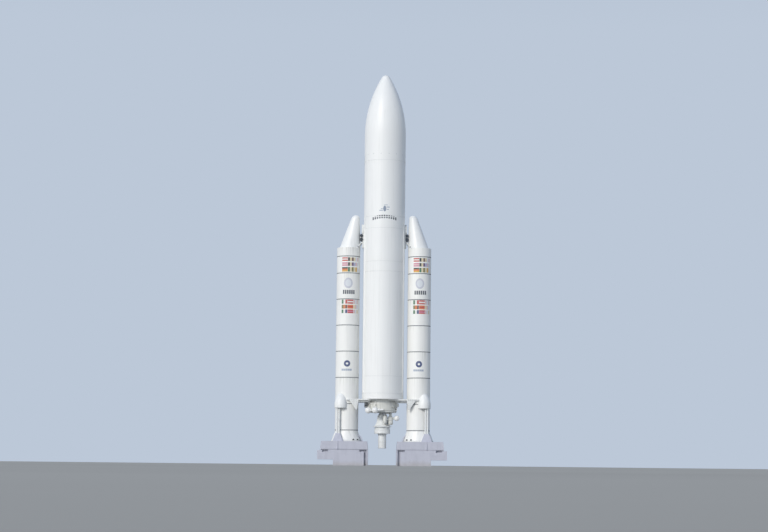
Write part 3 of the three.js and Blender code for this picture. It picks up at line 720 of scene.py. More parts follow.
for node, start in (("fairing_front_half", math.pi), ("fairing_rear_half", 0.0)):
    bm = turnRows(bmesh.new(), fairingRows(), core["around"] // 2, start=start, sweep=math.pi)
    place = fairing["seam"] / 2 * (-1 if start else 1)
    bmesh.ops.translate(bm, verts=bm.verts, vec=(0, place, 0))
    makePiece(node, bm, [whitePaint])

wide, thick, start, end = fairing["seamStrip"]
skinLine = [(r, z) for r, z in fairingRows() if fairingLow + start < z < end]
makePair("fairing_seam_strip", lambda bm: addPlate(bm, 90, wide, skinLine, thick), [whitePaint])

count, height, size = fairing["vents"]
bm = bmesh.new()
for step in range(count):
    azimuth = 360 * (step + 0.5) / count
    addDisc(bm, azimuth, height, size, size * 0.72, coreRadius, 0.005, around=20)
    addDisc(bm, azimuth, height, size * 0.6, 0, coreRadius, 0.002, material=1, around=16)
makePiece("fairingVents", bm, [whitePaint, paleSealant])

bm, screws = bmesh.new(), []
for door in core["doors"]:
    addDoor(bm, screws, *door, coreRadius)
makePiece("coreDoors", bm, [whitePaint, paleSealant])
addFasteners("coreDoorScrews", screws, 0.005, 0.002, fittingPaint, washer=1.4)

(count, offset, size, tall), (freeWide, freeTall) = core["bolts"], core["free"]
spots = []
for node in core["rings"]:
    for shift in (-offset, offset):
        spots += ringSpots(count, coreRadius + 0.003, heights(node)[1] + shift)
filmJoint = heights("equipment_bay")[1]
spots = [(p, out) for p, out in spots if p.y > 0 or abs(p.x) > freeWide or abs(p.z - filmJoint) > freeTall]
addFasteners("coreJointBolts", spots, size, tall, whitePaint)

for name, count, width, low, high, thick in core["ribs"]:
    addRibs(name, addPatch(bmesh.new(), 0, width, low, high, coreRadius, thick), count, whitePaint)

duct = {"azimuth": 69, "radius": 0.06, "tip": 0.4, "taper": 0.22, "strapPitch": 0.86, "strap": (0.04, 0.005)}


def ductPiece(bm):
    low, high = heights("core_duct_right")
    place = skinSpot(duct["azimuth"], 0, coreRadius)[0].xy
    wide, taper, pitch, (tall, proud) = (duct[key] for key in ("radius", "taper", "strapPitch", "strap"))
    narrow = wide * duct["tip"]
    turnRows(bm, [(narrow, low), (wide, low + taper), (wide, high - taper), (narrow, high)], 32, place)
    for step in range(int((high - low - 2 * taper) / pitch) + 1):
        start = low + taper + 0.05 + step * pitch
        addHoop(bm, wide, start, start + tall, proud, 32, place)
    return bm


makePair("core_duct", ductPiece, [whitePaint])
print("core ready")


# Boosters

caseLow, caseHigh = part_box("booster_aft_segment_right")
booster = {
    "offset": (caseLow.x + caseHigh.x) / 2,
    "radius": (caseHigh.x - caseLow.x) / 2,
    "around": 144,
    "edge": 0.004,
    "band": 0.046,          # grey band at each case joint
    "bandDepth": 0.007,
    "pins": (90, 0.010, 0.006),   # count, radius, height
    "footBandTop": 1.65,
    "noseBase": 0.675,
    "noseTip": 0.288,
    "noseBulge": 0.008,     # how far the cone swells out half way up
    "noseEdge": 0.006,
    "noseShift": 0.085,     # towards the core, at the base and at the tip
    "tipShift": 0.465,
    "noseRing": (0.03, 0.022, 48),         # height, proud, bolts
    "raceway": (148, 0.12, 0.045, 0.57),   # azimuth, width, height, pitch of its straps
}
caseRadius, boosterCentre = booster["radius"], (booster["offset"], 0.0)
caseJoints = [boosterFootTop + casePitch * i for i in range(7)] + [heights("booster_forward_segment_right")[1]]


def caseRows(low, high):
    # straight case with a recessed grey band centred on each joint, half a band at its ends
    half, inner, soft = booster["band"] / 2, caseRadius - booster["bandDepth"], booster["edge"]
    rows = [(inner, low, 1)]
    for joint in caseJoints:
        if low - 0.01 < joint < high + 0.01:
            start, end = max(low, joint - half), min(high, joint + half)
            if start > low:
                rows += [(caseRadius, start - soft), (inner, start, 1)]
            if end < high:
                rows += [(inner, end), (caseRadius, end + soft)]
    if max(caseJoints) < high - 0.01:
        return rows + [(caseRadius, high - soft), (caseRadius - soft, high)]
    return rows + [(inner, high, 1)]


for node in ("aft_segment", "centre_segment", "forward_segment", "collar"):
    low, high = heights(f"booster_{node}_right")
    makePair("booster_" + node, lambda bm: turnRows(bm, caseRows(low, high), booster["around"], boosterCentre),
             [boosterPaint, darkSealant])

spots, (count, size, tall) = [], booster["pins"]
for height in caseJoints:
    spots += bothSides(ringSpots(count, caseRadius - booster["bandDepth"], height, boosterCentre))
addFasteners("caseJointPins", spots, size, tall, sealant, washer=1.2)

noseLow, noseHigh = heights("booster_nose_right")


def noseRows(count=16):
    # slightly swollen cone with a round tip
    base, tip, bulge, edge = (booster[key] for key in ("noseBase", "noseTip", "noseBulge", "noseEdge"))
    tipCentre = noseHigh - noseLow - tip
    slope = math.atan2(base - tip + 4 * bulge, tipCentre)
    rows = [(base - edge, noseLow), (base, noseLow + edge)]
    for step in range(1, count):
        part = step / count
        rows.append((base + (tip - base) * part + 4 * bulge * part * (1 - part), noseLow + tipCentre * part))
    for step in range(count + 1):
        turn = slope + (math.pi / 2 - slope) * step / count
        out = tip * math.cos(turn) if step < count else 0
        rows.append((out, noseLow + tipCentre + tip * math.sin(turn)))
    return rows


noseCentre = (booster["offset"] - booster["noseShift"], 0.0)
lean = (booster["noseShift"] - booster["tipShift"]) / (noseHigh - noseLow)
makePair("booster_nose", lambda bm: turnRows(bm, noseRows(), booster["around"], noseCentre, lean=lean),
         [whitePaint])
base, (tall, proud, count) = booster["noseBase"], booster["noseRing"]
makePair("nose_base_ring", lambda bm: addHoop(bm, base, noseLow, noseLow + tall, proud, 120, noseCentre),
         [whitePaint])
spots = ringSpots(count, base + proud / 2, noseLow + tall, noseCentre, facing=up)
addFasteners("noseRingBolts", bothSides(spots), 0.006, 0.006)


def racewayPiece(bm):
    # cable tray cover up the back of the case, with straps
    azimuth, width, tall, pitch = booster["raceway"]
    start, end = caseJoints[0] + 0.06, caseJoints[-1] + 0.4
    under, slope, strap = caseRadius + 0.004 - tall, 0.12, 0.03
    line = [(under, start), (caseRadius, start + slope), (caseRadius, end - slope), (under, end)]
    addPlate(bm, azimuth, width, line, tall, boosterCentre, bury=0.012)
    for step in range(int((end - start - 0.3) / pitch) + 1):
        low = start + 0.15 + step * pitch
        for extra, lift in ((0.07, 0.006), (0.012, tall + 0.005)):
            addPatch(bm, azimuth, width + extra, low, low + strap, caseRadius, lift, boosterCentre)
    return bm


makePair("booster_raceway", racewayPiece, [boosterPaint])

foot = {
    "holes": (-0.740, -0.470), "holeRadius": 0.062, "holeHeight": 1.67, "holeDepth": 0.17, "rim": 0.016,
    "flange": (0.036, 0.024),      # width, thickness
    "band": (0.03, 0.008),         # height, thickness
    "studs": 36, "gussets": 36, "gusset": (0.05, 0.006),   # height, half thickness
}
(_, _, footLow), (footEdge, _, footHigh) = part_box("booster_foot_right")
flare = footEdge - booster["offset"]


def holeEnds(place, reach):
    # a drain hole's axis, from in front of the flared skin to the hole's depth
    x, face = booster["offset"] + place, -math.sqrt(flare ** 2 - place ** 2)
    return (x, face - reach, foot["holeHeight"]), (x, face + foot["holeDepth"], foot["holeHeight"])


def footPiece(bm):
    soft, half, inner = booster["edge"], booster["band"] / 2, caseRadius - booster["bandDepth"]
    turnRows(bm, [(flare - soft, footLow), (flare, footLow + soft), (flare, booster["footBandTop"]),
                  (caseRadius + 0.004, footHigh - 0.09), (caseRadius, footHigh - 0.07),
                  (caseRadius, footHigh - half - soft), (inner, footHigh - half, 1), (inner, footHigh, 1)],
             booster["around"], boosterCentre)
    holes = bmesh.new()
    for place in foot["holes"]:
        addBar(holes, *holeEnds(place, 0.1), foot["holeRadius"], 32, 2)
    # the drain holes' walls take the dark paint: painted shade inside the holes
    return cutPiece(bm, holes, 2)


def footTrim(bm):
    size, rim, top = foot["holeRadius"], foot["rim"], booster["footBandTop"]
    for place in foot["holes"]:
        addBar(bm, *holeEnds(place, rim), size + rim, 32, bore=size - 0.002)
    (wide, thick), (tall, proud) = foot["flange"], foot["band"]
    addHoop(bm, flare, footLow, footLow + thick, wide, 120, boosterCentre)
    return addHoop(bm, flare, top - tall, top, proud, 120, boosterCentre)


makePair("booster_foot", footPiece, [boosterPaint, darkSealant, darkPaintAndShade])
makePair("foot_trim", footTrim, [fittingPaint])
(wide, thick), (tall, half) = foot["flange"], foot["gusset"]
spots = ringSpots(foot["studs"], flare + wide * 0.6, footLow + thick, boosterCentre, 5, up)
addFasteners("footStuds", bothSides(spots), 0.009, 0.02)
shelf, root = footLow + thick - 0.002, flare - 0.01
for side, way in sides.items():
    rib = addPrism(bmesh.new(), [(root, shelf), (flare + wide * 0.9, shelf), (flare + 0.004, shelf + tall),
                                 (root, shelf + tall)], -half, half)
    addRibs("foot_gussets_" + side, rib, foot["gussets"], fittingPaint, centre=(way * booster["offset"], 0, 0))

marks = {
    "lift": 0.0015,
    "azimuths": (-17, 13, 43),
    "panelWidth": 0.385,
    "rows": (     # low, high, then the stripes of three panels: upright ones after |, level ones after =
        (13.30, 13.54, "= red white red", "| black cream brown", "| cream pale blush"),
        (12.98, 13.21, "= pink blush pink", "| black cream purple", "| lavender blush pale"),
        (12.60, 12.90, "= black orange yellow", "| green cream olive", "| cream yellow pale"),
        (10.50, 10.77, "| green white red", "= red white red", "| blush pale blush"),
        (10.18, 10.43, "| olive orange brown", "= orange red orange", "| cream blush pale"),
        (9.88, 10.12, "| green white navy", "= red pink red", "| blush pale cream"),
    ),
    "discs": (    # plain film; azimuth, height, outer and inner radius, height over width, colour
        (1.5, 11.86, 0.29, 0.19, 1.2, "mist"), (1.5, 11.86, 0.19, 0, 1.2, "pale"),
        (0, 6.60, 0.21, 0.075, 1, "navy"),
    ),
    "blocks": (   # count, azimuth of the middle, pitch, width, low, high, colour
        (6, 4.4, 10.4, 0.10, 11.14, 11.40, "slate"), (5, -2, 10.4, 0.13, 6.13, 6.26, "haze"),
    ),
    "coreDisc": (0.5, 16.70, 0.10, 0, 1.9, "steel"),
    "coreBars": (   # azimuth, width, low, high
        (-9.5, 0.24, 16.55, 16.61), (-7.5, 0.14, 16.66, 16.71), (9, 0.14, 16.62, 16.67),
        (10, 0.20, 16.77, 16.83), (3.5, 0.24, 16.92, 16.96),
    ),
    "coreBlocks": (11, 6.6, 0.10, 16.07, 16.29, 0.11),   # count, pitch, width, low, high, droop at the ends
}


def boosterFilm(bm, centre):
    lift, wide = marks["lift"], marks["panelWidth"]

    def patch(azimuth, width, low, high, colour):
        addPatch(bm, azimuth, width, low, high, caseRadius, lift, centre, filmIndex[colour])

    for low, high, *panels in marks["rows"]:
        for azimuth, panel in zip(marks["azimuths"], panels):
            way, *stripes = panel.split()
            for step, colour in enumerate(stripes):
                shift = (step - 1) / 3
                if way == "|":
                    patch(azimuth + math.degrees(shift * wide / caseRadius), wide / 3, low, high, colour)
                else:
                    middle, half = (low + high) / 2 - shift * (high - low), (high - low) / 6
                    patch(azimuth, wide, middle - half, middle + half, colour)
    for azimuth, height, outer, inner, squash, colour in marks["discs"]:
        addDisc(bm, azimuth, height, outer, inner, caseRadius, lift, centre, filmIndex[colour], squash)
    for count, azimuth, pitch, width, low, high, colour in marks["blocks"]:
        for step in range(count):
            patch(azimuth + (step - (count - 1) / 2) * pitch, width, low, high, colour)
    return bm


for side, way in sides.items():
    # both boosters carry the same marks the same way round
    makePiece("booster_film_" + side, boosterFilm(bmesh.new(), (way * booster["offset"], 0.0)),
              list(film.values()))

azimuth, height, outer, inner, squash, colour = marks["coreDisc"]
bm = addDisc(bmesh.new(), azimuth, height, outer, inner, coreRadius, marks["lift"],
             material=filmIndex[colour], squash=squash)
for bar in marks["coreBars"]:
    addPatch(bm, *bar, coreRadius, marks["lift"], material=filmIndex["haze"])
count, pitch, wide, low, high, droop = marks["coreBlocks"]
for step in range(count):
    place = step - count // 2
    drop = droop * (place / (count // 2)) ** 2
    addPatch(bm, place * pitch, wide, low - drop, high - drop, coreRadius, marks["lift"],
             material=filmIndex["slate"])
makePiece("coreFilm", bm, list(film.values()))
print("boosters ready")


# Engine, which swings on its gimbal

bell = {
    "profile": ((0.585, 2.510), (0.585, 2.550), (0.490, 2.605), (0.430, 2.690), (0.385, 2.800), (0.350, 2.940),
                (0.330, 3.090), (0.318, 3.235), (0.285, 3.290)),
    "around": 120,
    "tubes": (110, 0.006, 2.62, 3.20),     # count, thickness, from and to height
    "hoops": ((2.515, 2.547, 0.012), (3.16, 3.185, 0.012)),
}
curve = smoothProfile(bell["profile"], 6)


def bellRadius(height):
    for (r0, z0), (r1, z1) in zip(curve, curve[1:]):
        if z0 <= height <= z1 and z1 > z0:
            return r0 + (r1 - r0) * (height - z0) / (z1 - z0)
    return curve[-1][0]


bm = turnRows(bmesh.new(), curve, bell["around"])
for low, high, proud in bell["hoops"]:
    addHoop(bm, bellRadius((low + high) / 2), low, high, proud, bell["around"])
makePiece("engine_bell", bm, [fittingPaint], "engine")
count, thick, low, high = bell["tubes"]
rib = bmesh.new()
line = [low + (high - low) * step / 10 for step in range(11)]
loops = [[rib.verts.new((bellRadius(z) + out, side, z)) for z in line]
         for side, out in ((-thick, -0.006), (-thick * 0.6, 0.006), (thick * 0.6, 0.006), (thick, -0.006))]
for here, after in zip(loops, loops[1:] + loops[:1]):
    for i in range(len(line) - 1):
        rib.faces.new((here[i], after[i], after[i + 1], here[i + 1]))
rib.faces.new([loop[0] for loop in loops][::-1])
rib.faces.new([loop[-1] for loop in loops])
addRibs("bellCoolingTubes", rib, count, fittingPaint, "engine")

drum = {"radius": 0.512, "neck": 0.480, "shoulder": 2.405, "soft": 0.012, "bolts": 40}
low, high = heights("engine_drum")
radius, neck, top, soft = (drum[key] for key in ("radius", "neck", "shoulder", "soft"))
bm = turnRows(bmesh.new(), [(radius - soft, low), (radius, low + soft), (radius, top - soft),
                            (radius - soft, top), (neck, top + 0.002), (neck, high)], 120)
for start, end in ((low + 0.05, low + 0.08), (low + 0.22, low + 0.24), (top - 0.05, top - 0.025)):
    addHoop(bm, radius, start, end, 0.008, 120)
makePiece("engine_drum", bm, [fittingPaint], "engine")
spots = ringSpots(drum["bolts"], (radius + neck) / 2 - 0.004, top, facing=up)
addFasteners("drumBolts", spots, 0.007, 0.012, body="engine")

pipe = {"radius": 0.258, "bore": 0.238, "depth": 0.12, "soft": 0.003, "bolts": 24}
low, high = heights("engine_tailpipe")
radius, bore, deep, soft = (pipe[key] for key in ("radius", "bore", "depth", "soft"))
# the bore's wall and end take the dark paint: painted shade inside the pipe's mouth
bm = turnRows(bmesh.new(), [(bore, low + deep, 1), (bore, low), (radius - soft, low), (radius, low + soft),
                            (radius, high)], 96)
for start, end, proud in ((low + 0.02, low + 0.05, 0.012), (low + 0.42, low + 0.45, 0.02),
                          (high - 0.05, high - 0.01, 0.035)):
    addHoop(bm, radius, start, end, proud, 96)
makePiece("engine_tailpipe", bm, [fittingPaint, darkPaintAndShade], "engine")
spots = ringSpots(pipe["bolts"], radius + 0.018, high - 0.05, facing=down)
addFasteners("tailpipeBolts", spots, 0.007, 0.01, body="engine")

pump = {
    "inletTop": 3.47,
    "right": ((0.52, -0.24), 2.65, 3.24, 0.16),     # place, bottom, shoulder, radius
    "rear": ((-0.14, 0.56), 2.68, 3.22, 0.15),
    "armHalf": 0.06, "rightArm": (0.25, 2.88, 3.00), "rearArm": (0.30, 2.88, 2.99),   # end, low, high
    "exhaust": (0.93, -0.24, 3.09), "ballRadius": 0.175, "exhaustPipe": (3.07, 0.06),
    "generator": (0.17, -0.50), "generatorHoops": (2.83, 3.14),
    "generatorRows": [(0.07, 2.74), (0.105, 2.765), (0.125, 2.80), (0.125, 3.18), (0.105, 3.22), (0.06, 3.25)],
    "generatorPipes": ((3.02, 0.06), (2.90, 0.05)),   # height, radius: to the pump and to the bell
}


def pumpBody(bm, place, low, high, radius):
    # upright pump housing with flanges and an inlet pipe
    top, neck, flange, middle = pump["inletTop"], radius * 0.5, radius * 0.68, (low + high) / 2
    turnRows(bm, [(radius * 0.6, low), (radius * 0.85, low + 0.025), (radius, low + 0.07),
                  (radius, high - 0.10), (radius * 0.88, high - 0.045), (neck, high), (neck, top - 0.04),
                  (flange, top - 0.04), (flange, top)], 48, place)
    for start, end, proud in ((low + 0.10, low + 0.13, 0.018), (middle, middle + 0.035, 0.022),
                              (high - 0.15, high - 0.12, 0.016)):
        addHoop(bm, radius, start, end, proud, 48, place)
    return addHoop(bm, neck, high + 0.06, high + 0.085, 0.02, 32, place)


bm = pumpBody(bmesh.new(), *pump["right"])
(x, y), ball, size, half = pump["right"][0], pump["exhaust"], pump["ballRadius"], pump["armHalf"]
(end, low, high), (height, thick) = pump["rightArm"], pump["exhaustPipe"]
addBlock(bm, (end, y - half, low), (x, y + half, high))
addBar(bm, (x, y, height), ball, thick)
addBar(bm, (x + 0.19, y, 3.079), (x + 0.22, y, 3.081), 0.08)
addBall(bm, ball, size, material=1)
addHoop(bm, size - 0.001, 3.083, 3.097, 0.004, 48, ball[:2], 1)
# gas generator in front of the neck, joined to the pump and to the bell
spot, rows, (toPump, toBell) = pump["generator"], pump["generatorRows"], pump["generatorPipes"]
turnRows(bm, rows, 48, spot)
for start in pump["generatorHoops"]:
    addHoop(bm, rows[2][0], start, start + 0.02, 0.012, 48, spot)
for (height, thick), end in ((toPump, (x, y)), (toBell, (spot[0], -0.20))):
    addBar(bm, (*spot, height), (*end, height), thick)
makePiece("turbopump_right", bm, [enginePaint, whitePaint], "engine")
bm = pumpBody(bmesh.new(), *pump["rear"])
(x, y), (end, low, high) = pump["rear"][0], pump["rearArm"]
addBlock(bm, (x - half, end, low), (x + half, y, high))
makePiece("turbopump_rear", bm, [enginePaint], "engine")

spots = []
for key in ("right", "rear"):
    place, low, high, radius = pump[key]
    spots += ringSpots(12, radius * 0.60, pump["inletTop"] - 0.04, place, facing=down)
    spots += ringSpots(18, radius + 0.012, low + 0.13, place, facing=up)
addFasteners("pumpBolts", spots, 0.006, 0.008, body="engine")
addPipes("engineFeedPipes", (
    ((0.52, -0.09, 2.80), (0.50, 0.20, 2.80), (0.38, 0.30, 2.92), (0.24, 0.22, 3.12)),
    ((0.17, -0.50, 2.75), (0.17, -0.50, 2.67), (0.38, -0.40, 2.63), (0.52, -0.24, 2.68)),
    ((-0.24, 0.56, 2.82), (-0.30, 0.44, 2.84), (-0.26, 0.30, 2.98), (-0.20, 0.22, 3.14)),
    ((0.0, 0.56, 2.84), (0.22, 0.52, 2.84), (0.30, 0.30, 2.92)),
    ((0.17, -0.50, 3.22), (0.17, -0.50, 3.38), (0.36, -0.36, 3.39), (0.50, -0.25, 3.37)),
), 0.030, (0.16, 0.037, 0.02), 0.09, "engine")
addPipes("engineSenseLines", (
    ((-0.24, 0.36, 2.68), (-0.22, 0.34, 2.86), (-0.19, 0.30, 3.02), (-0.18, 0.27, 3.18)),
    ((0.06, 0.44, 2.66), (0.05, 0.42, 2.86), (0.05, 0.36, 3.06), (0.05, 0.30, 3.22)),
    ((0.10, 0.53, 2.54), (0.12, 0.57, 2.30), (0.12, 0.55, 2.16), (0.10, 0.47, 2.12)),
), 0.012, (0.12, 0.018, 0.02), 0.05, "engine")

yoke = {"edge": 0.004, "flange": 0.0397, "bolts": (16, 0.245, 0.010, 0.012)}
for node, body in (("gimbal_lower_yoke", "engine"), ("gimbal_cross", "gimbal"), ("gimbal_upper_yoke", "root")):
    copyPiece(node, yoke["edge"], gimbalSteel, body)
(count, out, size, tall), thick = yoke["bolts"], yoke["flange"]
for name, height, way, body in (("upperYokeBolts", heights("gimbal_upper_yoke")[1] - thick, down, "root"),
                                ("lowerYokeBolts", heights("gimbal_lower_yoke")[0] + thick, up, "engine")):
    addFasteners(name, ringSpots(count, out, height, facing=way), size, tall, body=body)
print("engine ready")


# Thrust frame and what hangs on it

frameRing = {
    "rows": ((0.916, 3.600), (0.950, 4.000), (0.950, 4.3099)),
    "skirt": ((0.880, 3.450), (0.905, 3.475), (0.9155, 3.5997), (0.800, 3.5997), (0.800, 3.450)),
    "hoops": ((0.916, 3.602, 3.632, 0.022), (0.946, 3.985, 4.03, 0.020), (0.95, 4.19, 4.212, 0.018)),
    "skirtHoop": (0.914, 3.572, 3.598, 0.022), "bolts": (96, 0.929, 3.572),
    "ribs": 48, "underRibs": 16, "ribThick": 0.006,
}
bm = turnRows(bmesh.new(), frameRing["rows"], 120)
for hoop in frameRing["hoops"]:
    addHoop(bm, *hoop, 120)
makePiece("thrust_frame", bm, [enginePaint])
bm = turnLoop(bmesh.new(), frameRing["skirt"], 120)
makePiece("thrust_frame_skirt", addHoop(bm, *frameRing["skirtHoop"], 120), [enginePaint])
addFasteners("thrustFrameBolts", ringSpots(*frameRing["bolts"], facing=down), 0.007, 0.008)
thick = frameRing["ribThick"]
rib = addPrism(bmesh.new(), [(0.91, 3.632), (0.928, 3.632), (0.964, 3.985), (0.94, 3.985)], -thick, thick)
addPrism(rib, [(0.945, 4.03), (0.964, 4.03), (0.964, 4.19), (0.945, 4.19)], -thick, thick)
addRibs("thrustFrameRibs", rib, frameRing["ribs"], enginePaint)
rib = addPrism(bmesh.new(), [(0.30, 3.586), (0.79, 3.586), (0.79, 3.602), (0.30, 3.602)], -thick, thick)
addRibs("thrustFrameUnderRibs", rib, frameRing["underRibs"], enginePaint)

sphere = {
    "radius": 0.205, "height": 3.58, "places": ((-0.93, -0.65), (-0.48, -1.03)), "rise": 0.06,
    "arm": 0.06, "flange": 0.085, "link": 0.05, "skin": 0.915,
    "pipe": (-0.06, 0.03, 0.055),   # Y and Z from the inner ball's middle, radius
}
bm = bmesh.new()
for x, y in sphere["places"]:
    # ball with a weld band, on an arm that ends at the frame's skin
    centre, reach = Vector((x, y, sphere["height"])), Vector((x, y)).length
    root = Vector((0.7 * x, 0.7 * y, sphere["height"] + sphere["rise"]))
    skinPlace = centre.lerp(root, (reach - sphere["skin"]) / (0.3 * reach))
    addBall(bm, centre, sphere["radius"])
    addHoop(bm, sphere["radius"] - 0.001, centre.z - 0.008, centre.z + 0.008, 0.004, 48, (x, y))
    addBar(bm, centre, skinPlace, sphere["arm"])
    addBar(bm, skinPlace.lerp(centre, 0.06), skinPlace, sphere["flange"])
outer, (x, y) = sphere["places"]
addBar(bm, (*outer, sphere["height"]), (x, y, sphere["height"]), sphere["link"])
# pipe from the inner ball, with a small ball on it, that turns back to the frame
line = (y + sphere["pipe"][0], sphere["height"] + sphere["pipe"][1])
addBar(bm, (x + 0.10, *line), (x + 0.52, *line), sphere["pipe"][2])
addBar(bm, (x + 0.49, *line), (x + 0.524, *line), 0.07)
addBar(bm, (x + 0.48, *line), (x + 0.48, -sphere["skin"], line[1]), sphere["link"])
addBall(bm, (x + 0.27, *line), 0.085, 32)
makePiece("pressure_spheres", bm, [whitePaint])

valve = {"edge": 0.006, "lid": 0.008, "xs": (-1.125, -1.03, -0.935), "zs": (3.845, 3.945, 4.045)}
low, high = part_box("valve_box")
bm, front = copyNode("valve_box", valve["edge"]), low.y - valve["lid"]
lid = addBlock(bmesh.new(), (low.x + 0.02, front, low.z + 0.02), (high.x - 0.05, low.y + 0.01, high.z - 0.03))
mesh = bpy.data.meshes.new("lid")
soften(lid, 0.003).to_mesh(mesh)
lid.free()
bm.from_mesh(mesh)
bpy.data.meshes.remove(mesh)
for x in valve["xs"]:
    for z in valve["zs"]:
        # valve blocks with a union nut on each
        addBlock(bm, (x - 0.034, front - 0.022, z - 0.020), (x + 0.034, front + 0.004, z + 0.020), 1)
        addBar(bm, (x, front - 0.034, z), (x, front - 0.020, z), 0.013, 6, 1)
makePiece("valve_box", bm, [darkPaintAndShade, fittingPaint])
xs = (low.x + 0.035, (low.x + high.x) / 2 - 0.015, high.x - 0.065)
addFasteners("valveBoxScrews", flatSpots(xs, [front], (low.z + 0.035, high.z - 0.045), forward), 0.007, 0.006)

housing = {
    "low": (0.84, -0.42, 3.83), "high": (1.05, -0.18, 4.04), "edge": 0.012,
    "fins": (3.865, 3.915, 3.965, 4.015), "port": (0.87, 3.665),
    "portRings": ((-0.46, -0.25, 0.062, 0), (-0.475, -0.45, 0.084, 0), (-0.482, -0.47, 0.05, 1)),
}
bm = soften(addBlock(bmesh.new(), housing["low"], housing["high"]), housing["edge"])
for height in housing["fins"]:
    addBlock(bm, (0.88, -0.432, height - 0.009), (1.062, -0.20, height + 0.009))
x, z = housing["port"]
for front, back, radius, material in housing["portRings"]:
    addBar(bm, (x, front, z), (x, back, z), radius, 32, material)
makePiece("frameValveHousing", bm, [enginePaint, darkPaintAndShade])


def arcLine(radius, height, first, last, count=24):
    turns = [first + (last - first) * step / count for step in range(count + 1)]
    return [tuple(skinSpot(turn, height, radius)[0]) for turn in turns]


addPipes("frameRingMains", (
    arcLine(0.985, 4.12, -150, -28), arcLine(0.985, 4.12, 28, 150),
    arcLine(0.978, 3.90, -128, -70, 12), arcLine(0.968, 3.78, 35, 85, 10),
    ((-0.93, -0.65, 3.78), (-0.92, -0.64, 3.86), (-0.80, -0.56, 3.98), (-0.79, -0.55, 4.10)),
    ((-0.48, -1.03, 3.78), (-0.47, -1.02, 3.86), (-0.41, -0.89, 3.98), (-0.40, -0.88, 4.10)),
), 0.017, (0.18, 0.025, 0.03), 0.05)
print("thrust frame ready")


# Aft attachments between the core and the boosters

aft = {
    "edge": 0.006, "liner": (1.56, 0.007), "stiffeners": (-1.28, -0.64, 0.0, 0.64, 1.28), "strut": 0.042,
    "height": 4.14, "line": 0.50, "frameRadius": 0.95, "slant": (1.08, 1.62),
    "clevis": (0.09, 0.06, 0.055),   # length, half width, half height
    "beamBolts": (1.68, 0.12), "gussetBolts": (1.70, 0.085, 4.14, 0.11),   # first X and pitch, top and drop
}
for node in ("aft_beam_front", "aft_beam_rear"):
    low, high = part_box(node)
    bm, (half, thick) = copyNode(node, aft["edge"]), aft["liner"]
    # thin dark sheet on the beam's underside: painted shade
    addBlock(bm, (-half, low.y + 0.008, low.z - thick), (half, high.y - 0.008, low.z + 0.002), 1)
    for x in aft["stiffeners"]:
        for y in (low.y - 0.006, high.y - 0.004):
            addBlock(bm, (x - 0.012, y, low.z + 0.008), (x + 0.012, y + 0.010, high.z - 0.008))
    makePiece(node, bm, [fittingPaint, undersideShadePaint])
    for side in sides:
        copyPiece(node.replace("beam", "gusset") + "_" + side, aft["edge"], fittingPaint)

low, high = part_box("aft_beam_front")
(start, pitch), (first, step, top, drop) = aft["beamBolts"], aft["gussetBolts"]
spots = []
for i in range(5):
    spots += flatSpots([start + i * pitch], [low.y], (low.z + 0.022, high.z - 0.022), forward)
    spots += flatSpots([first + i * step], [low.y], [top - row * drop for row in range(4 - i)], forward)
spots = bothSides(spots)
spots += [(Vector((p.x, -p.y, p.z)), -f) for p, f in spots]
addFasteners("aftBeamBolts", spots, 0.010, 0.009)


def strutPiece(bm):
    height, line, radius, (long, half, tall) = (aft[key] for key in ("height", "line", "strut", "clevis"))
    inner = math.sqrt(aft["frameRadius"] ** 2 - line ** 2)
    outer = booster["offset"] - math.sqrt(caseRadius ** 2 - line ** 2)
    for y in (-line, line):
        addBar(bm, (inner + 0.02, y, height), (outer, y, height), radius, 32)
        for x, way in ((inner, 1), (outer, -1)):
            # clevis at each end: a pad on the skin and a pin through the rod
            near, far = sorted((x, x + way * long))
            addBlock(bm, (near, y - half, height - tall), (far, y + half, height + tall))
            addBar(bm, (x + way * 0.12, y, height - 0.065), (x + way * 0.12, y, height + 0.065), 0.022, 20)
    x0, x1 = aft["slant"]
    return addBar(bm, (x0, -line, height), (x1, line, height), radius * 0.9, 32)


makePair("aft_struts", strutPiece, [fittingPaint])
print("aft attachments ready")


# Forward attachments: blister on the core, dark bracket below it

bracket = {
    "pad": (1.440, 0.22, 14.24, 15.1997), "joints": (14.80, 15.04), "jointRadius": 0.09, "jointReach": 0.29,
    "jointPlace": 1.50, "head": (1.440, 0.17, 14.64), "foot": (1.800, 0.53, 14.17), "strut": 0.04,
    "blisterEdge": 0.014, "bolts": (0.19, [14.30, 14.44, 14.58, 14.72, 14.86, 15.00, 15.14]),
}


def bracketPiece(bm):
    face, half, low, high = bracket["pad"]
    x, reach, radius = bracket["jointPlace"], bracket["jointReach"], bracket["jointRadius"]
    (first, second), noseFace = bracket["joints"], booster["offset"] - booster["noseBase"]
    soften(addBlock(bm, (coreRadius - 0.06, -half, low), (face, half, high), 1), 0.008)
    # the block across the gap, the joint pins and the balls take the dark paint: partly their own dark finish,
    # partly painted shade of the gap between core and nose
    addBlock(bm, (face - 0.02, -0.15, first - 0.06), (noseFace + 0.02, 0.15, second + 0.06), 1)
    for height in bracket["joints"]:
        addBar(bm, (x, -reach, height), (x, reach, height), radius, 40)
        for way in (-1, 1):
            for start, end, size, around in ((reach, reach + 0.018, radius * 0.55, 24),
                                             (reach - 0.04, reach - 0.015, radius * 1.12, 40)):
                addBar(bm, (x, way * start, height), (x, way * end, height), size, around)
    (x0, y0, z0), (x1, y1, z1) = bracket["head"], bracket["foot"]
    for way in (-1, 1):
        addBar(bm, (x0, way * y0, z0), (x1, way * y1, z1), bracket["strut"], 24, 1)
        addBall(bm, (x0 + 0.02, way * y0, z0), 0.06, 24)
        addBall(bm, (x1 - 0.08, way * (y1 - 0.08), z1 + 0.10), 0.052, 24)
    return bm


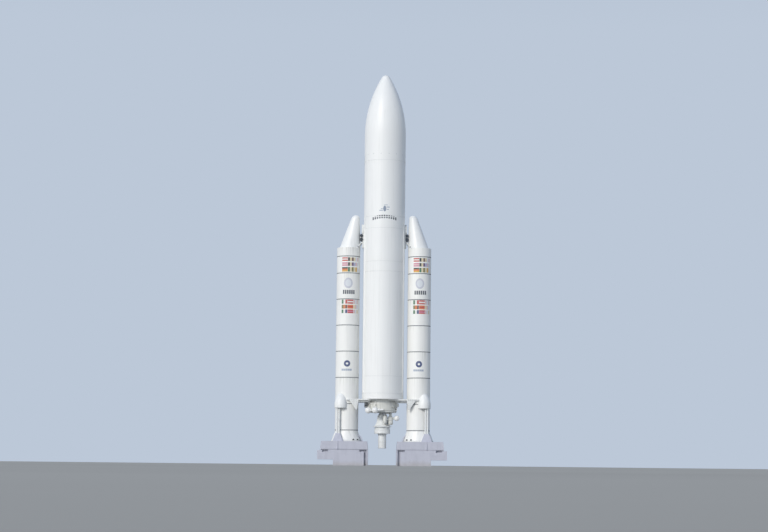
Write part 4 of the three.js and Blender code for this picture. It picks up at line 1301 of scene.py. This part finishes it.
makePair("forward_bracket", bracketPiece, [darkPaintAndShade, fittingPaint])
for side in sides:
    copyPiece("forward_blister_" + side, bracket["blisterEdge"], fittingPaint)
half, zs = bracket["bolts"]
addFasteners("bracketPadBolts", bothSides(flatSpots([bracket["pad"][0]], (-half, half), zs, outward)),
             0.011, 0.012)
print("forward attachments ready")


# Pods on the boosters' outer fronts, with their rods and seats

pod = {
    "centre": (2.70, -0.56, 3.90), "half": (0.43, 0.48, 0.78), "flat": 3.725, "lip": (0.012, 0.022),
    "rods": (2.795, 2.93), "rodLine": -0.80, "rodRadius": 0.058, "collar": (0.078, 0.03), "gap": 0.0003,
    "clamps": (2.50, 2.95, 3.40), "clamp": (0.04, 0.045, 0.05),   # beyond the rods, half depth, height
    "seatMiddle": 2.87, "seatHalf": (0.345, 0.150), "seatTop": 2.075, "seatBolts": (-0.125, 0.125),
}


def podPiece(bm):
    flat, (x, y, z), (a, b, c), (wide, thick) = pod["flat"], pod["centre"], pod["half"], pod["lip"]
    addBall(bm, pod["centre"], pod["half"], 72)
    cut = bmesh.ops.bisect_plane(bm, geom=bm.verts[:] + bm.edges[:] + bm.faces[:], plane_co=(0, 0, flat),
                                 plane_no=(0, 0, -1), clear_outer=True)
    rim = [part for part in cut["geom_cut"] if isinstance(part, bmesh.types.BMEdge)]
    bmesh.ops.holes_fill(bm, edges=rim, sides=0)
    part = math.sqrt(1 - ((flat - z) / c) ** 2)   # width of the flat bottom over the ball's full width
    place = Matrix.Translation((x, y, flat + thick / 2))
    size = Matrix.Diagonal((a * part + wide, b * part + wide, 1, 1))
    bmesh.ops.create_cone(bm, cap_ends=True, segments=72, radius1=1, radius2=1, depth=thick,
                          matrix=place @ size)
    # the flat bottom, facing down, takes the dark paint: painted shade under the pod
    for face in bm.faces:
        face.material_index = 1 if face.normal.z < -0.9 and face.calc_center_median().z < flat + 0.01 else 0
    return bm


def rodPiece(bm):
    line, low, high = pod["rodLine"], pod["seatTop"] + pod["gap"], pod["flat"] - pod["gap"]
    radius, (wide, thick), (beyond, half, tall) = pod["rodRadius"], pod["collar"], pod["clamp"]
    for x in pod["rods"]:
        for start, end, size in ((low, high, radius), (low, low + thick, wide), (high - thick, high, wide)):
            addBar(bm, (x, line, start), (x, line, end), size, 40)
    first, second = pod["rods"]
    for height in pod["clamps"]:
        addBlock(bm, (first - beyond, line - half, height), (second + beyond, line + half, height + tall))
        for x in pod["rods"]:
            addBar(bm, (x, line, height - 0.006), (x, line, height + tall + 0.006), radius + 0.012, 40)
    return bm


def seatPiece(bm):
    (base, head), low, high = pod["seatHalf"], heights("rod_seat_right")[0], pod["seatTop"]
    place = Matrix.Translation((pod["seatMiddle"], pod["rodLine"], (low + high) / 2))
    turn = Matrix.Rotation(math.radians(45), 4, "Z")
    bmesh.ops.create_cone(bm, cap_ends=True, segments=4, radius1=base * math.sqrt(2),
                          radius2=head * math.sqrt(2), depth=high - low, matrix=place @ turn)
    return soften(bm, 0.010, 20)


makePair("booster_pod", podPiece, [whitePaint, darkPaintAndShade])
makePair("pod_rods", rodPiece, [fittingPaint])
makePair("rod_seat", seatPiece, [plinthPaint])
(first, second), line, (_, half, tall) = pod["rods"], pod["rodLine"], pod["clamp"]
xs = (first - 0.025, (first + second) / 2, second + 0.025)
spots = flatSpots(xs, [line - half], [height + tall / 2 for height in pod["clamps"]], forward)
spots += flatSpots([pod["seatMiddle"] + x for x in pod["seatBolts"]], [line + y for y in pod["seatBolts"]],
                   [pod["seatTop"]], up)
spots += ringSpots(20, 0.40, pod["flat"], pod["centre"][:2], facing=down)
addFasteners("podBolts", bothSides(spots), 0.009, 0.009)
print("pods ready")


# Plinths

plinth = {
    "inner": 0.922, "outer": 4.18, "halfDepth": 1.54, "edge": 0.014,
    "baseTop": 1.01, "ledge": (3.15, 0.395, 0.975), "ledgePocket": (3.465, 3.85, 0.11),
    "pocket": (1.11, 1.46, 0.12), "recess": (1.0, 1.175, 1.02, 1.15),
    "packing": (0.17, 0.003),      # how far behind the mouths it starts, and its gap
    "rebate": (0.036, 0.03),       # height and depth of the shadow gap under the slab
    "slab": (1.0103, 1.56), "slabFoot": (0.922, 4.0), "slabHead": (0.972, 3.92),
    "ridge": (2.87, 0.07, 0.045),
    "fin": (0.010, 0.003),         # width and thickness, then the fins' places along X and on the ends
    "fins": (1.48, 2.04, 2.60), "ledgeFins": (3.16, 3.68), "endFins": (-1.02, -0.34, 0.34, 1.02),
    "tie": (0.017, 0.003),         # radius and thickness of the plugs, then their places
    "ties": (1.34, 1.76, 2.32, 2.90), "ledgeTies": (3.42, 3.86), "endTies": (-1.2, -0.4, 0.4, 1.2),
    "guide": (1.76, 0.50, 0.43, 75.6, -0.30, 0.16),   # middle, radii, sweep, front, depth
}


def basePiece(bm):
    inner, outer, top, deep = (plinth[key] for key in ("inner", "outer", "baseTop", "halfDepth"))
    (step, ledgeLow, ledgeTop), (p0, p1, pDeep) = plinth["ledge"], plinth["ledgePocket"]
    (q0, q1, qDeep), (r0, r1, rTop, rDeep) = plinth["pocket"], plinth["recess"]
    addPrism(bm, [(inner, 0), (step, 0), (step, ledgeLow), (outer, ledgeLow), (outer, ledgeTop),
                  (p1, ledgeTop), (p1, ledgeTop - pDeep), (p0, ledgeTop - pDeep), (p0, top), (q1, top),
                  (q1, top - qDeep), (q0, top - qDeep), (q0, top), (inner, top)], -deep, deep)
    soften(bm, plinth["edge"], segments=2)
    tools = bmesh.new()
    for front in (-deep - 0.01, deep + 0.01 - rDeep):
        addBlock(tools, (r0, front, -0.01), (r1, front + rDeep, rTop))
    # the slot's walls take the darker copy of the paint: painted shade
    bm = cutPiece(bm, tools)
    # packing that closes the slot and the pockets a hand's reach behind their mouths
    reach, gap = deep - plinth["packing"][0], plinth["packing"][1]
    near, far, high = rDeep - deep + gap, deep - rDeep - gap, top - gap
    # the packing's faces take the darker copy of the paint: painted shade in the slot and pockets
    for front, back in ((-reach, near), (far, reach)):
        addBlock(bm, (r0 + gap, front, 0.002), (r1 - gap, back, high), 1)
    addBlock(bm, (r1 + gap, -reach, top - qDeep + gap), (q1 - gap, reach, high), 1)
    addBlock(bm, (q0 + gap, near, top - qDeep + gap), (r1 + 0.01, far, high), 1)
    floor, ledge = ledgeTop - pDeep + gap, ledgeTop + gap
    addPrism(bm, [(p0 + gap, high), (p0 + gap, floor), (p1 - gap, floor), (p1 - gap, ledge),
                  (p1 + 0.1, ledge), (p1 + 0.1, high)], -reach, reach, 1)
    return bm


def slabPiece(bm):
    (low, high), deep, (tall, inset) = plinth["slab"], plinth["halfDepth"], plinth["rebate"]
    (f0, f1), (h0, h1), (middle, foot, head) = plinth["slabFoot"], plinth["slabHead"], plinth["ridge"]
    addPrism(bm, [(f0, low + tall), (f1, low + tall), (h1, high), (h0, high)], -deep, deep)
    soften(bm, plinth["edge"])
    # the inset strip in the rebate takes the darker copy of the paint: painted shade under the slab
    addPrism(bm, [(f0 + inset, low), (f1 - inset, low), (f1 - inset, low + tall + 0.01),
                  (f0 + inset, low + tall + 0.01)], -deep + inset, deep - inset, 1)
    for way in (-1, 1):
        # ridge that tapers upwards on the front and the rear
        verts = [bm.verts.new((middle + x, way * deep + y * way, z))
                 for z, size in ((low + tall, foot), (high - 0.0003, head))
                 for x, y in ((-size, -0.02), (size, -0.02), (0.008, size - 0.008), (-0.008, size - 0.008))]
        faces = [(0, 1, 2, 3), (7, 6, 5, 4)] + [(i + 4, (i + 1) % 4 + 4, (i + 1) % 4, i) for i in range(4)]
        for corners in faces:
            bm.faces.new([verts[i] for i in corners[::way]])
    return bm


def guidePiece(bm):
    middle, wide, narrow, sweep, front, deep = plinth["guide"]
    low, count = plinth["slab"][1] + 0.0003, 32
    arc = [math.pi - math.radians(sweep) * step / count for step in range(count + 1)]
    outline = [(middle + wide * math.cos(a), low + wide * math.sin(a)) for a in arc]
    outline += [(middle + narrow * math.cos(a), low + narrow * math.sin(a)) for a in reversed(arc)]
    addPrism(bm, outline[::-1], front, front + deep)
    return soften(bm, 0.006, 50, 2)


def finPiece(bm):
    # thin fins that the formwork's joints left, on the front, rear and outer faces
    (wide, proud), deep, top, outer = plinth["fin"], plinth["halfDepth"], plinth["baseTop"], plinth["outer"]
    (step, ledgeLow, ledgeTop), (low, high) = plinth["ledge"], plinth["slab"]
    for way in (-1, 1):
        y0, y1 = sorted((way * (deep - 0.004), way * (deep + proud)))
        for xs, foot, head in ((plinth["fins"], 0.03, top - 0.03),
                               (plinth["ledgeFins"], ledgeLow + 0.03, ledgeTop - 0.14)):
            for x in xs:
                addBlock(bm, (x, y0, foot), (x + wide, y1, head))
                addBlock(bm, (x, y0, low + 0.03), (x + wide, y1, high - 0.03))
        addBlock(bm, (1.20, y0, 0.50), (step - 0.02, y1, 0.50 + wide))
    for y in plinth["endFins"]:
        addBlock(bm, (outer - 0.003, y, ledgeLow + 0.02), (outer - 0.0005, y + wide, ledgeTop - 0.02))
    return bm


makePair("plinth_base", basePiece, [plinthPaint, shadeAndPlugConcrete])
makePair("plinth_slab", slabPiece, [plinthPaint, shadeAndPlugConcrete])
makePair("foot_guide", guidePiece, [plinthPaint])
makePair("formwork_fins", finPiece, [plinthPaint])
spots, deep = [], plinth["halfDepth"]
for way in (-1, 1):
    for xs, zs in ((plinth["ties"], (0.26, 0.74, 1.28)), (plinth["ledgeTies"], (0.66, 1.28))):
        spots += flatSpots(xs, [way * deep], zs, (0, way, 0))
spots += flatSpots([plinth["outer"] - 0.002], plinth["endTies"], [0.68], outward)
size, tall = plinth["tie"]
addFasteners("formworkTiePlugs", bothSides(spots), size, tall, shadeAndPlugConcrete, washer=1.0, around=20)
print("plinths ready")


# Stage, light and camera

view = {
    "distance": 127.5,
    "eyeHeight": 0.05,
    "pitch": 5.83,          # degrees up
    "roll": 0.6,
    "focalPixels": 1950,
    "imageWidth": 768,
    "sensor": 36,
    "farthest": 2000,
}
sky = {"low": "bcc8d8", "high": "6f84a4", "from": 0.22, "to": 0.9, "strength": 1.0}
suns = {   # a soft sun from the front left, and a broad glow from low down
    "key": {"azimuth": -31, "elevation": 29, "energy": 1.72, "angle": 14, "colour": "fffaf2"},
    "glow": {"azimuth": -40, "elevation": 3, "energy": 1.03, "angle": 60, "colour": "fffdfa"},
}
scene = bpy.context.scene
scene.view_settings.view_transform = "Standard"   # AgX greys the white paint

bm = bmesh.new()
bmesh.ops.create_grid(bm, x_segments=1, y_segments=1, size=1500)
mesh = bpy.data.meshes.new("floor")
bm.to_mesh(mesh)
bm.free()
mesh.materials.append(paleFloor)
floor = bpy.data.objects.new("floor", mesh)
scene.collection.objects.link(floor)

world = bpy.data.worlds.new("paleSky")
scene.world = world
world.use_nodes = True
air = world.node_tree
air.nodes.clear()
direction = addNode(air, "ShaderNodeTexCoord").outputs["Generated"]
height = addNode(air, "ShaderNodeSeparateXYZ", {0: direction}).outputs["Z"]
fade = addNode(air, "ShaderNodeMapRange", {"Value": height, "From Min": sky["from"], "From Max": sky["to"]})
blend = addNode(air, "ShaderNodeMix", {0: fade, 6: sky["low"], 7: sky["high"]}, data_type="RGBA")
light = addNode(air, "ShaderNodeBackground", {"Color": blend.outputs[2], "Strength": sky["strength"]})
addNode(air, "ShaderNodeOutputWorld", {"Surface": light})

for name, given in suns.items():
    sun = bpy.data.lights.new(name, "SUN")
    sun.energy, sun.angle = given["energy"], math.radians(given["angle"])
    sun.color = hexLinear(given["colour"])[:3]
    turn, rise = math.radians(given["azimuth"]), math.radians(given["elevation"])
    towards = Vector((math.sin(turn) * math.cos(rise), -math.cos(turn) * math.cos(rise), math.sin(rise)))
    lamp = bpy.data.objects.new(name, sun)
    lamp.rotation_euler = towards.to_track_quat("Z", "Y").to_euler()
    scene.collection.objects.link(lamp)

lens = bpy.data.cameras.new("camera")
lens.sensor_width = view["sensor"]
lens.lens = view["focalPixels"] / view["imageWidth"] * view["sensor"]
lens.clip_end = view["farthest"]
camera = bpy.data.objects.new("camera", lens)
camera.location = (0, -view["distance"], view["eyeHeight"])
camera.rotation_euler = (Matrix.Rotation(math.radians(90 + view["pitch"]), 3, "X")
                         @ Matrix.Rotation(math.radians(view["roll"]), 3, "Z")).to_euler()
scene.collection.objects.link(camera)
scene.camera = camera
print("stage ready")
